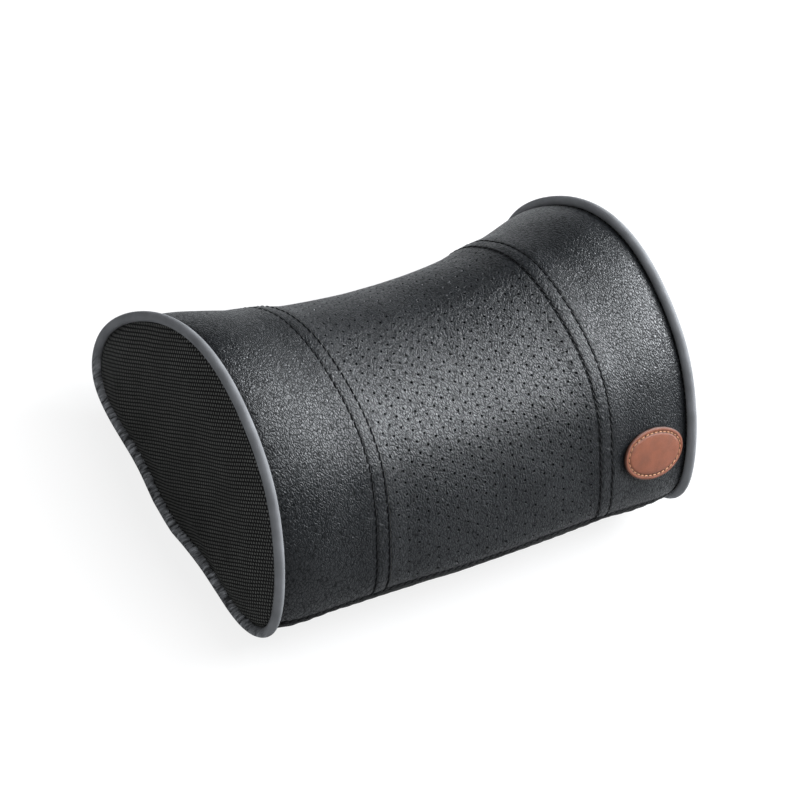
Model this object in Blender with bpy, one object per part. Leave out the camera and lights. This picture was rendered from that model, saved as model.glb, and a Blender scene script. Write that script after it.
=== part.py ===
"""Car neck pillow: a foam bolster in a cover of black leathercloth, with grey piping round its two ends.

X runs along the pillow, Y up its back from the lower edge to the upper edge, and Z out of its back. The
pillow lies on its back, on the headrest strap, with its origin on the floor under its middle. In metres.
"""

import functools
import math

import bmesh
import bpy
import numpy as np

# The cover at the end seams, where the end panels are sewn in.
LENGTH = 0.2975  # between the planes of the two pipings
END_WIDTH = 0.1844  # lower edge to upper edge
END_THICKNESS = 0.1122  # back to front
END_RISE = 0.0064  # the back over the floor

# The cover in the middle, where the neck lies.
MID_WIDTH = 0.1781
MID_THICKNESS = 0.1086
MID_DROP = 0.0136  # how far the lower edge bulges past the ends' lower edge

# How the cover swells between the seams.
LOWER_PINCH = 0.0070  # how far the end seams pull the lower edge in
UPPER_PINCH = 0.0085  # the same at the upper edge
FRONT_PINCH = 0.0086  # the same at the front
PINCH_REACH = 0.011  # how far from the seam half of that is gone, and more
LOWER_POWER = 1.63  # the bulge of the lower edge
UPPER_POWER = 2.46  # the hollow of the upper edge
FRONT_POWER = 1.62  # the hollow of the front
OUTLINE_POWER = 3.0  # how late the middle's outline turns into the end's

# Outlines, lower edge to upper edge by back to front, as shares of the width and the thickness: from the
# corner under the lower seam, over the front, to the upper seam, and down the back.
LOWER_SEAM, UPPER_SEAM = 1, 9
END_OUTLINE = (
    (0.02, 0.128), (-0.027, 0.245), (0.027, 0.499), (0.16, 0.755), (0.309, 0.912), (0.547, 1.006),
    (0.739, 0.948), (0.889, 0.759), (0.995, 0.477), (1.014, 0.257), (0.963, 0.10), (0.837, 0.045),
    (0.655, 0.035), (0.488, -0.01), (0.328, 0.045), (0.124, 0.075),
)
MID_OUTLINE = (
    (0.09, 0.085), (0.0, 0.36), (0.045, 0.535), (0.164, 0.769), (0.321, 0.943), (0.55, 1.0),
    (0.788, 0.934), (0.958, 0.69), (1.0, 0.46), (0.975, 0.26), (0.93, 0.10), (0.84, 0.0),
    (0.66, -0.02), (0.48, -0.02), (0.32, -0.02), (0.18, 0.0),
)
SPAN_STEPS = 24  # points on the smooth outline between two of these

# Cloths, foam and thread.
LEATHER = 0.0012
BACK_CLOTH = 0.0012
MESH_CLOTH = 0.0010
GAP = 0.0003  # between neighbours that touch
END_DOME = 0.0022  # how far the foam pushes the end panels out
END_PANEL_EASE = 0.0010  # between their rims and the cords
END_PANEL_LEVELS = (1.0, 0.85, 0.5)  # rings of an end panel, as shares of its rim
CORE_CAP_LEVELS = (0.8, 0.45)  # the same on the foam's ends
THREAD = 0.0008

# Seams between the leathercloth panels, from the middle.
PANEL_SEAM_X = 0.0755
INNER_ROW_X = 0.0765
OUTER_ROW_X = 0.0850
LOWER_ROW_LIFT = 0.0016  # the row along the lower seam, over that seam
ROW_END_LIFT = 0.0030  # the ends of the rows across the front, over the same seam

# Piping: a cord in a folded strip, whose flange is caught in the seam.
PIPE_DIAMETER = 0.0058
FLANGE = 0.0006
FLANGE_DEPTH = 0.0035
FLANGE_INSET = 0.0010  # its middle, inwards of the cord's
GATHER_PITCH = 0.0090
GATHER_DEPTH = 0.0008
PIPE_SIDES = 7

# Oval badge on the right panel.
BADGE_LENGTH = 0.0470
BADGE_WIDTH = 0.0320
BADGE_THICKNESS = 0.0016
BADGE_EASE = 0.0004  # at its rim
BADGE_END_GAP = 0.0067  # between its tip and the end seam
BADGE_LIFT = 0.0365  # its middle over the lower seam, along the cover
BADGE_STITCH_INSET = 0.0028

# Elastic strap across the back, which holds the pillow on a headrest.
STRAP_WIDTH = 0.030
STRAP_THICKNESS = 0.0015
STRAP_Y = 0.080  # its middle, from the ends' lower edge

# Mesh fineness.
FRONT_STEPS = 24
BACK_STEPS = 15
MIDDLE_STEPS = 6
SIDE_SHARES = (0.25, 0.50, 0.70, 0.84, 0.94, 1.0)  # stations from the outer row to the end seam
PIPE_FRONT_STEPS = 24
BADGE_STEPS = 24
BADGE_LEVELS = (0.02, 0.4, 0.7, 0.9, 1.0)  # loops of the badge, as shares of its rim
CROWDING_SHARE = 0.075  # how much closer the points lie by the seams
SHARP_ANGLE = math.radians(40)

HALF_LENGTH = LENGTH / 2
PIPE_RADIUS = PIPE_DIAMETER / 2
FLANGE_X = HALF_LENGTH - FLANGE_INSET
SEAM_X = FLANGE_X - FLANGE / 2 - GAP  # edge of the leathercloth at the end seams
BADGE_X = SEAM_X - BADGE_END_GAP - BADGE_LENGTH / 2
END_PANEL_X = FLANGE_X + FLANGE / 2 + GAP
MID_RISE = STRAP_THICKNESS + GAP
SLOPE_STEP = 1e-5  # along X, for the cover's slope
BEND_STEP = 1e-3  # along the outline, for its direction


def clear_scene():
    for obj in list(bpy.data.objects):
        bpy.data.objects.remove(obj)


def material(name, colour, roughness):
    mat = bpy.data.materials.new(name)
    mat.use_nodes = True
    mat.diffuse_color = (*colour, 1)
    shader = mat.node_tree.nodes["Principled BSDF"]
    shader.inputs["Base Color"].default_value = (*colour, 1)
    shader.inputs["Roughness"].default_value = roughness
    return mat


def blend(middle, end, share):
    return middle + (end - middle) * share


def cover_box(x):
    """Lowest y, highest y, lowest z and highest z of the cover at x, from the ends' lower edge."""
    share = min(abs(x) / SEAM_X, 1)
    near_end = math.exp(-(SEAM_X - min(abs(x), SEAM_X)) / PINCH_REACH)
    lower = blend(-MID_DROP, -LOWER_PINCH, share**LOWER_POWER) + LOWER_PINCH * near_end
    upper = blend(MID_WIDTH - MID_DROP, END_WIDTH + UPPER_PINCH, share**UPPER_POWER) - UPPER_PINCH * near_end
    back = blend(MID_RISE, END_RISE, near_end)
    swollen = END_RISE + END_THICKNESS + FRONT_PINCH
    front = blend(MID_RISE + MID_THICKNESS, swollen, share**FRONT_POWER) - FRONT_PINCH * near_end
    return lower, upper, back, front


def smooth_closed(points):
    """The closed cubic spline through the points, with SPAN_STEPS points a span from the first one."""
    count = len(points)
    following = np.roll(points, -1, axis=0)
    spans = np.linalg.norm(following - points, axis=1) ** 0.5
    before = np.roll(spans, 1)
    system = np.zeros((count, count))
    right = np.zeros((count, 2))
    slopes = (following - points) / spans[:, None]
    for i in range(count):
        system[i, i - 1] = before[i]
        system[i, i] = 2 * (before[i] + spans[i])
        system[i, (i + 1) % count] = spans[i]
        right[i] = 6 * (slopes[i] - slopes[i - 1])
    bends = np.linalg.solve(system, right)
    curve = []
    for i in range(count):
        here, there = bends[i], bends[(i + 1) % count]
        for step in range(SPAN_STEPS):
            s = step / SPAN_STEPS * spans[i]
            rest = spans[i] - s
            curve.append(
                (here * rest**3 + there * s**3) / (6 * spans[i])
                + (points[i] / spans[i] - here * spans[i] / 6) * rest
                + (following[i] / spans[i] - there * spans[i] / 6) * s
            )
    return np.array(curve)


def section(x):
    """The cover's outline at x, as (y, z) from the ends' lower edge and the floor."""
    lower, upper, back, front = cover_box(x)
    share = min(abs(x) / SEAM_X, 1) ** OUTLINE_POWER
    outline = blend(np.array(MID_OUTLINE), np.array(END_OUTLINE), share)
    curve = smooth_closed(outline * (upper - lower, front - back) + (lower, back))
    curve[:, 1] = np.maximum(curve[:, 1], back)
    return curve


@functools.lru_cache(maxsize=None)
def girth(x):
    """The outline at x from the lower seam round, the length along it, the front's length and the whole."""
    curve = np.roll(section(x), -LOWER_SEAM * SPAN_STEPS, axis=0)
    steps = np.linalg.norm(np.roll(curve, -1, axis=0) - curve, axis=1)
    lengths = np.concatenate([[0], np.cumsum(steps)])
    return curve, lengths[:-1], lengths[(UPPER_SEAM - LOWER_SEAM) * SPAN_STEPS], lengths[-1]


def on_cover(x, distances):
    """Points (y, z) of the cover at x, at distances along it from the lower seam, up the front."""
    curve, lengths, _, whole = girth(x)
    return np.column_stack([np.interp(distances, lengths, curve[:, k], period=whole) for k in (0, 1)])


def spread(steps):
    """Shares from 0 to 1, closer together towards both ends, where the cover bends most."""
    even = np.linspace(0, 1, steps + 1)
    return even - CROWDING_SHARE * np.sin(2 * math.pi * even)


def front_distances(x, trim):
    """Distances from the lower seam to the upper seam, the first and the last trimmed from the seam."""
    front = girth(x)[2]
    return np.concatenate([[trim], spread(FRONT_STEPS)[1:-1] * front, [front - trim]])


def back_distances(x, trim):
    """Distances from the upper seam, down the back, to the lower seam."""
    _, _, front, whole = girth(x)
    inner = front + spread(BACK_STEPS)[1:-1] * (whole - front)
    return np.concatenate([[front + trim], inner, [whole - trim]])


def ring_distances(x):
    """Distances round the whole outline, with one point on each seam."""
    return np.concatenate([front_distances(x, 0), back_distances(x, 0)[1:-1]])


def raised(x, distances_at, offset):
    """Points of the cover at x, raised off it by offset along its normals."""
    distances = distances_at(x)
    flat = on_cover(x, distances)
    inner = math.copysign(SLOPE_STEP, -x)
    slope = (on_cover(x + inner, distances_at(x + inner)) - flat) / inner
    forward = on_cover(x, distances + BEND_STEP) - on_cover(x, distances - BEND_STEP)
    run = np.column_stack([np.zeros(len(flat)), forward])
    rise = np.column_stack([np.ones(len(flat)), slope])
    normal = np.cross(rise, run)
    normal /= np.linalg.norm(normal, axis=1)[:, None]
    return np.column_stack([np.full(len(flat), x), flat]) + offset * normal


def lift(distances_at, stations, offset):
    """A grid of raised points, one row for each station."""
    return np.array([raised(x, distances_at, offset) for x in stations])


def width_middle():
    """The y half way between the lowest and the highest point of the whole pillow."""
    lowest = section(0)[:, 0].min() - GAP - THREAD
    highest = section(SEAM_X)[:, 0].max() + PIPE_DIAMETER
    return (lowest + highest) / 2


MIDDLE_Y = width_middle()


def pillow_empty():
    """The parent of every piece, at the ends' lower edge, from which y is counted."""
    empty = bpy.data.objects.new("car_neck_pillow", None)
    empty.location = (0, -MIDDLE_Y, 0)
    bpy.context.scene.collection.objects.link(empty)
    return empty


def new_object(name, vertices, faces, mat, place=(0, 0, 0)):
    """A piece with its origin at place, from the ends' lower edge."""
    mesh = bpy.data.meshes.new(name)
    mesh.from_pydata([tuple(np.subtract(vertex, place)) for vertex in vertices], [], faces)
    build = bmesh.new()
    build.from_mesh(mesh)
    bmesh.ops.recalc_face_normals(build, faces=build.faces)
    build.to_mesh(mesh)
    build.free()
    mesh.materials.append(mat)
    mesh.shade_smooth()
    mesh.set_sharp_from_angle(angle=SHARP_ANGLE)
    obj = bpy.data.objects.new(name, mesh)
    obj.location = place
    bpy.context.scene.collection.objects.link(obj)
    return obj


def grid_faces(rows, columns, start=0, wrap_rows=False, wrap_columns=False):
    faces = []
    for i in range(rows if wrap_rows else rows - 1):
        for j in range(columns if wrap_columns else columns - 1):
            a, b = start + i * columns, start + (i + 1) % rows * columns
            k = (j + 1) % columns
            faces.append((a + j, a + k, b + k, b + j))
    return faces


def sheet(name, outer, inner, mat):
    """A closed cloth between two grids of the same size."""
    rows, columns = outer.shape[:2]
    size = rows * columns
    faces = grid_faces(rows, columns) + grid_faces(rows, columns, size)
    edge = [j for j in range(columns)]
    edge += [i * columns + columns - 1 for i in range(1, rows)]
    edge += [(rows - 1) * columns + j for j in range(columns - 2, -1, -1)]
    edge += [i * columns for i in range(rows - 2, 0, -1)]
    for a, b in zip(edge, edge[1:] + edge[:1]):
        faces.append((a, b, size + b, size + a))
    vertices = np.vstack([outer.reshape(-1, 3), inner.reshape(-1, 3)])
    return new_object(name, vertices, faces, mat)


def swept(name, rings, mat, closed, place=(0, 0, 0)):
    """A bar through rings of points, joined end to end or capped."""
    rings = np.array(rings)
    rows, sides = rings.shape[:2]
    faces = grid_faces(rows, sides, wrap_rows=closed, wrap_columns=True)
    if not closed:
        faces.append(tuple(range(sides)))
        faces.append(tuple((rows - 1) * sides + j for j in range(sides)))
    return new_object(name, rings.reshape(-1, 3), faces, mat, place)


def side_stations():
    """Stations of the right panel, from its seam with the middle panel to the end seam."""
    reach = SEAM_X - OUTER_ROW_X
    return [PANEL_SEAM_X + GAP / 2, INNER_ROW_X, OUTER_ROW_X] + [OUTER_ROW_X + reach * s for s in SIDE_SHARES]


def middle_stations():
    half = PANEL_SEAM_X - GAP / 2
    return [float(x) for x in np.linspace(-half, half, MIDDLE_STEPS + 1)]


def all_stations():
    side = side_stations()
    return [-x for x in reversed(side)] + middle_stations() + side


def front_panel(name, stations, mat):
    """Leathercloth over the front, from the lower seam to the upper seam."""

    def distances_at(x):
        return front_distances(x, GAP / 2)

    return sheet(name, lift(distances_at, stations, 0), lift(distances_at, stations, -LEATHER), mat)


def back_panel(mat):
    """Black cloth from the upper seam, down the back, to the lower seam."""

    def distances_at(x):
        return back_distances(x, GAP / 2)

    stations = all_stations()
    outer, inner = lift(distances_at, stations, 0), lift(distances_at, stations, -BACK_CLOTH)
    return sheet("back_panel", outer, inner, mat)


def domed_rings(rim, centre, rim_x, dome, levels):
    """Rings from the rim in to the centre, pushed out along x as they near it."""
    rings = []
    for level in levels:
        ring = centre + (rim - centre) * level
        rings.append(np.column_stack([np.full(len(ring), rim_x + dome * (1 - level**2)), ring]))
    return rings


def foam_core(mat):
    """The foam block, clear of the cover all round, with its ends pushing out the end panels."""
    shell = lift(ring_distances, all_stations(), -(max(LEATHER, BACK_CLOTH) + GAP))
    centre = section(SEAM_X).mean(axis=0)
    reach = END_PANEL_X + END_DOME - GAP
    rows = list(shell)
    for end, row in ((-1, shell[0]), (1, shell[-1])):
        rim_x = abs(row[:, 0]).min()
        caps = domed_rings(row[:, 1:], centre, rim_x, reach - rim_x, CORE_CAP_LEVELS)
        caps = [ring * (end, 1, 1) for ring in caps]
        rows = caps[::-1] + rows if end < 0 else rows + caps
    rings = np.array(rows)
    count, sides = rings.shape[:2]
    vertices = np.vstack([rings.reshape(-1, 3), [(-reach, *centre)], [(reach, *centre)]])
    faces = grid_faces(count, sides, wrap_columns=True)
    last = count * sides
    for j in range(sides):
        k = (j + 1) % sides
        faces.append((j, k, last))
        faces.append((last - sides + j, last - sides + k, last + 1))
    return new_object("foam_core", vertices, faces, mat)


def end_panel(name, end, mat):
    """Mesh cloth inside the piping, pushed out by the foam."""
    centre = section(SEAM_X).mean(axis=0)
    edge = on_cover(SEAM_X, ring_distances(SEAM_X))
    inward = centre - edge
    rim = edge + inward / np.linalg.norm(inward, axis=1)[:, None] * END_PANEL_EASE
    outer = domed_rings(rim, centre, END_PANEL_X + MESH_CLOTH, END_DOME, END_PANEL_LEVELS)
    inner = domed_rings(rim, centre, END_PANEL_X, END_DOME, END_PANEL_LEVELS)
    sides = len(rim)
    rings = np.array(inner[::-1] + outer)
    tips = [(END_PANEL_X + END_DOME, *centre), (END_PANEL_X + MESH_CLOTH + END_DOME, *centre)]
    vertices = np.vstack([rings.reshape(-1, 3), tips]) * (end, 1, 1)
    faces = grid_faces(len(rings), sides, wrap_columns=True)
    last = len(rings) * sides
    for j in range(sides):
        k = (j + 1) % sides
        faces.append((j, k, last))
        faces.append((last - sides + j, last - sides + k, last + 1))
    return new_object(name, vertices, faces, mat, (end * END_PANEL_X, *centre))


def piping(name, end, mat):
    """The piping round one end seam, gathered along the back, with its flange inside the seam."""
    _, _, front, whole = girth(SEAM_X)
    back_steps = 2 * round((whole - front) / GATHER_PITCH)
    distances = [front * k / PIPE_FRONT_STEPS for k in range(PIPE_FRONT_STEPS)]
    distances += [front + (whole - front) * k / back_steps for k in range(back_steps)]
    distances = np.array(distances)
    path = on_cover(SEAM_X, distances)
    forward = on_cover(SEAM_X, distances + BEND_STEP) - on_cover(SEAM_X, distances - BEND_STEP)
    outward = np.column_stack([-forward[:, 1], forward[:, 0]])
    outward /= np.linalg.norm(outward, axis=1)[:, None]
    rings = []
    for i, (point, out) in enumerate(zip(path, outward)):
        step = i - PIPE_FRONT_STEPS
        gather = 0.0
        if step > 0:
            gather = GATHER_DEPTH * math.sin(math.pi * step / back_steps) * (step % 2)
        radius = PIPE_RADIUS - gather / 2
        ring = []
        for side in range(PIPE_SIDES):
            turn = 2 * math.pi * (side + 0.5) / PIPE_SIDES
            ring.append((HALF_LENGTH + radius * math.sin(turn), radius - radius * math.cos(turn)))
        # The circle starts and ends at the side that faces the pillow, and the flange hangs there.
        near, far = FLANGE_X - FLANGE / 2, FLANGE_X + FLANGE / 2
        ring += [(near, 0), (near, -FLANGE_DEPTH), (far, -FLANGE_DEPTH), (far, 0)]
        rings.append([(end * x, *(point + out * rise)) for x, rise in ring])
    return swept(name, rings, mat, closed=True, place=(end * HALF_LENGTH, 0, 0))


def thread(name, points, normals, mat, place=(0, 0, 0)):
    """A row of stitches as one thin bar that lies on the cover through the points."""
    half = THREAD / 2
    forward = np.gradient(points, axis=0)
    side = np.cross(forward, normals)
    side *= half / np.linalg.norm(side, axis=1)[:, None]
    middle = points + normals * (GAP + half)
    rings = np.stack([middle + side, middle + normals * half, middle - side, middle - normals * half], axis=1)
    return swept(name, rings, mat, closed=False, place=place)


def stitch_row(name, x, mat):
    """The row across the front at x, from seam to seam."""

    def distances_at(station):
        return front_distances(station, ROW_END_LIFT)

    points = raised(x, distances_at, 0)
    return thread(name, points, raised(x, distances_at, 1) - points, mat, place=(x, 0, 0))


def lower_seam_row(mat):
    """The row along the lower seam, between that seam and the ends of the rows across the front."""

    def distances_at(station):
        return np.array([LOWER_ROW_LIFT])

    stations = [x for x in all_stations() if abs(x) < SEAM_X - PIPE_RADIUS]
    points = lift(distances_at, stations, 0)[:, 0]
    return thread("lower_seam_stitching", points, lift(distances_at, stations, 1)[:, 0] - points, mat)


def badge_frame():
    """The badge's middle on the cover and the ways up the cover and out of it, in y and z."""
    reach = BADGE_WIDTH / 4
    low, middle, high = on_cover(BADGE_X, [BADGE_LIFT - reach, BADGE_LIFT, BADGE_LIFT + reach])
    up = (high - low) / np.linalg.norm(high - low)
    return middle, up, np.array([-up[1], up[0]])


def on_badge(length, width, height):
    """A loop round an oval of this length and width, at this height over the cover."""
    middle, up, out = badge_frame()
    loop = []
    for step in range(BADGE_STEPS):
        turn = 2 * math.pi * step / BADGE_STEPS
        x = BADGE_X + length / 2 * math.cos(turn)
        curve = girth(x)[0]
        climbed = (curve - middle) @ up
        rising = climbed.argmax() + 1
        across = width / 2 * math.sin(turn)
        y, z = (np.interp(across, climbed[:rising], curve[:rising, k]) for k in (0, 1))
        loop.append((x, *(np.array([y, z]) + out * height)))
    return np.array(loop)


def badge(mat):
    """The oval leather badge, bent to the cover, with its rim eased."""
    top = GAP + BADGE_THICKNESS
    under = [on_badge(BADGE_LENGTH * k, BADGE_WIDTH * k, GAP) for k in BADGE_LEVELS]
    rim = on_badge(BADGE_LENGTH, BADGE_WIDTH, top - BADGE_EASE)
    length, width = BADGE_LENGTH - 2 * BADGE_EASE, BADGE_WIDTH - 2 * BADGE_EASE
    over = [on_badge(length * k, width * k, top) for k in reversed(BADGE_LEVELS)]
    loops = under + [rim] + over
    return swept("badge", loops, mat, closed=False, place=(BADGE_X, *badge_frame()[0]))


def badge_stitching(mat):
    """The thread round the badge, just inside its rim."""
    inset = 2 * BADGE_STITCH_INSET
    half = THREAD / 2
    top = GAP + BADGE_THICKNESS + GAP
    length, width = BADGE_LENGTH - inset, BADGE_WIDTH - inset
    inner = on_badge(length - THREAD, width - THREAD, top + half)
    outer = on_badge(length + THREAD, width + THREAD, top + half)
    low, high = on_badge(length, width, top), on_badge(length, width, top + THREAD)
    rings = np.stack([inner, high, outer, low], axis=1)
    return swept("badge_stitching", rings, mat, closed=True, place=(BADGE_X, *badge_frame()[0]))


def headrest_strap(mat):
    """The elastic strap along the back, from one end seam to the other."""
    end = HALF_LENGTH - PIPE_RADIUS - GAP
    stations = [-end] + [x for x in all_stations() if abs(x) < end - GAP] + [end]
    rings = []
    for x in stations:
        top = cover_box(x)[2] - GAP
        low, high = STRAP_Y - STRAP_WIDTH / 2, STRAP_Y + STRAP_WIDTH / 2
        bottom = top - STRAP_THICKNESS
        rings.append([(x, low, bottom), (x, high, bottom), (x, high, top), (x, low, top)])
    return swept("headrest_strap", rings, mat, closed=False)


def build():
    leather = material("black leathercloth", (0.028, 0.030, 0.032), 0.45)
    perforated = material("perforated black leathercloth", (0.028, 0.030, 0.032), 0.5)
    back_cloth = material("black back cloth", (0.012, 0.012, 0.012), 0.9)
    mesh_cloth = material("black mesh cloth", (0.014, 0.014, 0.013), 0.85)
    grey = material("grey piping", (0.19, 0.20, 0.21), 0.55)
    black_thread = material("black thread", (0.006, 0.006, 0.006), 0.6)
    foam = material("foam", (0.70, 0.64, 0.48), 0.95)
    tan_leather = material("tan leather", (0.43, 0.14, 0.065), 0.55)
    tan_thread = material("tan thread", (0.72, 0.38, 0.22), 0.6)
    elastic = material("black elastic", (0.015, 0.015, 0.015), 0.8)

    foam_core(foam)
    side = side_stations()
    front_panel("side_panel_left", [-x for x in reversed(side)], leather)
    front_panel("middle_panel", middle_stations(), perforated)
    front_panel("side_panel_right", side, leather)
    back_panel(back_cloth)
    for end, hand in ((-1, "left"), (1, "right")):
        end_panel(f"end_panel_{hand}", end, mesh_cloth)
        piping(f"piping_{hand}", end, grey)
        stitch_row(f"inner_stitching_{hand}", end * INNER_ROW_X, black_thread)
        stitch_row(f"outer_stitching_{hand}", end * OUTER_ROW_X, black_thread)
    lower_seam_row(black_thread)
    badge(tan_leather)
    badge_stitching(tan_thread)
    headrest_strap(elastic)

    empty = pillow_empty()
    for obj in bpy.data.objects:
        if obj != empty:
            obj.parent = empty


clear_scene()
build()
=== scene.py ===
"""Looks of the car neck pillow: a foam bolster in grained black leathercloth, with a perforated middle, mesh
ends, grey piping and a bare oval badge. Each piece is an operator, and the cover is swollen once by Cloth."""

import functools
import math

import bmesh
import bpy
import numpy as np
from bpy.props import FloatProperty, FloatVectorProperty, IntProperty, PointerProperty
from mathutils import Matrix, Vector


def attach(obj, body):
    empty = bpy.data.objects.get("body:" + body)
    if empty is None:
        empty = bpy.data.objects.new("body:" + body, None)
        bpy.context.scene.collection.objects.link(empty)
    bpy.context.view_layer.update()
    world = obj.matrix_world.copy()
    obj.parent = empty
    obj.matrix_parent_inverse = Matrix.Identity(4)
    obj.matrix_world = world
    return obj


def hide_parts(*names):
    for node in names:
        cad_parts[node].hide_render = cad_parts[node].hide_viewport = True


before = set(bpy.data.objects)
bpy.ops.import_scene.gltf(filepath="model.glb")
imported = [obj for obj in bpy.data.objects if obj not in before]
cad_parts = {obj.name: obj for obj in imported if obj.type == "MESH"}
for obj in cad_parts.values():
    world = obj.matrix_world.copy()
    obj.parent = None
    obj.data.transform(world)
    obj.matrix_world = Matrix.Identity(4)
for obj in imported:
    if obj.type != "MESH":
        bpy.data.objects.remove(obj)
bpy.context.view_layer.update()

bl_info = {
    "name": "Car neck pillow",
    "version": (1, 0, 0),
    "blender": (4, 5, 0),
    "location": "3D View > Sidebar > Neck pillow",
    "description": "Builds a neck pillow for a car seat, one piece at a time",
    "category": "Object",
}

# The cover, as the CAD has it. Sizes in metres, from the ends' lower edge and the floor.
LENGTH = 0.2975
END_WIDTH = 0.1844
END_THICKNESS = 0.1122
END_RISE = 0.0064
MID_WIDTH = 0.1781
MID_THICKNESS = 0.1086
MID_DROP = 0.0136
LOWER_PINCH = 0.0070
UPPER_PINCH = 0.0085
FRONT_PINCH = 0.0086
PINCH_REACH = 0.011
LOWER_POWER = 1.63
UPPER_POWER = 2.46
FRONT_POWER = 1.62
OUTLINE_POWER = 3.0
LOWER_SEAM, UPPER_SEAM = 1, 9
END_OUTLINE = (
    (0.02, 0.128), (-0.027, 0.245), (0.027, 0.499), (0.16, 0.755), (0.309, 0.912), (0.547, 1.006),
    (0.739, 0.948), (0.889, 0.759), (0.995, 0.477), (1.014, 0.257), (0.963, 0.10), (0.837, 0.045),
    (0.655, 0.035), (0.488, -0.01), (0.328, 0.045), (0.124, 0.075),
)
MID_OUTLINE = (
    (0.09, 0.085), (0.0, 0.36), (0.045, 0.535), (0.164, 0.769), (0.321, 0.943), (0.55, 1.0),
    (0.788, 0.934), (0.958, 0.69), (1.0, 0.46), (0.975, 0.26), (0.93, 0.10), (0.84, 0.0),
    (0.66, -0.02), (0.48, -0.02), (0.32, -0.02), (0.18, 0.0),
)
GAP = 0.0003
LEATHER = 0.0012
BACK_CLOTH = 0.0012
MESH_CLOTH = 0.0010
END_DOME = 0.0022
PANEL_SEAM_X = 0.0755
INNER_ROW_X = 0.0765
OUTER_ROW_X = 0.0850
LOWER_ROW_LIFT = 0.0016
ROW_END_LIFT = 0.0030
PIPE_DIAMETER = 0.0058
FLANGE = 0.0006
FLANGE_INSET = 0.0010
BADGE_LENGTH = 0.0470
BADGE_WIDTH = 0.0320
BADGE_THICKNESS = 0.0016
BADGE_END_GAP = 0.0067
BADGE_LIFT = 0.0365
BADGE_STITCH_INSET = 0.0028
STRAP_WIDTH = 0.030
STRAP_THICKNESS = 0.0015
STRAP_Y = 0.080

HALF_LENGTH = LENGTH / 2
PIPE_RADIUS = PIPE_DIAMETER / 2
FLANGE_X = HALF_LENGTH - FLANGE_INSET
SEAM_X = FLANGE_X - FLANGE / 2 - GAP
BADGE_X = SEAM_X - BADGE_END_GAP - BADGE_LENGTH / 2
END_PANEL_X = FLANGE_X + FLANGE / 2 + GAP
MID_RISE = STRAP_THICKNESS + GAP
THREAD = 0.0008

SPAN_STEPS = 80  # points on the smooth outline between two given ones
FIELD_STEP = 0.0010  # grid of the cover, both ways
NET_ROWS, NET_COLUMNS = 61, 96  # the net that Cloth swells
LINE_KNOTS, FIELD_KNOTS = 512, 256  # random values before the noise repeats
LINE_START, FIELD_START = 200, 100  # which keeps every place on the knots

# Where the cover is held, for Cloth. A pair is where the hold starts to ease, and where it ends.
SEAM_HOLD = 0.020
END_HOLD = 0.014
FRONT_EASE = 0.008
ROW_HOLD = (0.0015, 0.016)
PIN_FADE = 1.5
CLOTH_SETTINGS = {
    "quality": 6, "mass": 0.3, "tension_stiffness": 25, "compression_stiffness": 25, "bending_stiffness": 2.0,
    "use_pressure": True,
}

# The leathercloth's relief. Widths, reaches and lengths are across or along the seams.
GROOVE_WIDTH = 0.0007
PUCKER_REACH = 0.0035
PUCKER_LENGTH = 0.012
BAND_HEIGHT = 0.00025
ROW_WAVE, ROW_WAVE_LENGTH, ROW_WAVE_REACH = 0.00035, 0.011, 0.012
SEAM_DIP, SEAM_DIP_WIDTH = 0.0012, 0.0011
LOWER_GROOVE_SHIFT, LOWER_GROOVE_WIDTH = 0.0004, 0.0008
GATHER_PITCH, GATHER_LENGTH, GATHER_DRIFT = 0.0085, 0.0065, 0.03
GATHER_REACH, GATHER_START = 0.0075, 0.002
HOLLOW_LENGTH, SMALL_HOLLOW_LENGTH, HOLLOW_START = 0.034, 0.016, 0.012

# The panels.
CLOTH_SHARE = 0.8  # of a cloth's thickness, so that nothing shows under it
SIDE_STEPS_ROUND = 300
SIDE_CROWDING = 0.07
CLOSE_STEP, WIDE_STEP = 0.0003, 0.0013
STEP_CHANGE = (0.001, 0.005)
TILE_CELLS = 8
TILE_MERGE = 2e-5
HOLE_ROUNDING = 0.00008
SEAM_MARGIN = 0.75  # of the first row's distance, where no hole may lie
FITTED_SHARE = 0.75  # of the longest girth, past which the sheet is drawn to each girth
MIDDLE_SINK = 0.0002
BACK_ROWS, BACK_COLUMNS = 170, 150
BACK_WAVE, BACK_WAVE_LENGTH = 0.0005, 0.018
BACK_HOLD = (0.0005, 0.004)
BACK_LIFT = (0.0002, 0.004)
END_STEPS_ROUND, END_LEVELS = 220, 60
END_INNERMOST = 0.01
END_TUCK = 0.0006
END_SWELL, END_SWELL_REACH = 0.0018, 0.026
END_SINK, END_SINK_REACH = 0.0017, 0.005
END_FOLD, END_FOLD_REACH, END_FOLD_SPREAD = 0.0007, 0.012, 0.55
END_WAVE, END_WAVE_LENGTH, END_EDGE = 0.0008, 0.028, 0.004

# The piping and the stitches.
PATH_STEP = 0.001
PIPE_POINTS = 520
PIPE_STEP = 0.0007
PIPE_WANDER, PIPE_WANDER_LENGTH = 0.0003, 0.014
GATHER_RISE = (0.012, 0.045)
GATHER_FALL = (0.003, 0.020)
STITCH_SLANT, ROW_THREAD, THREAD_LIFT = 9.0, 1.25, 0.4

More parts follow.
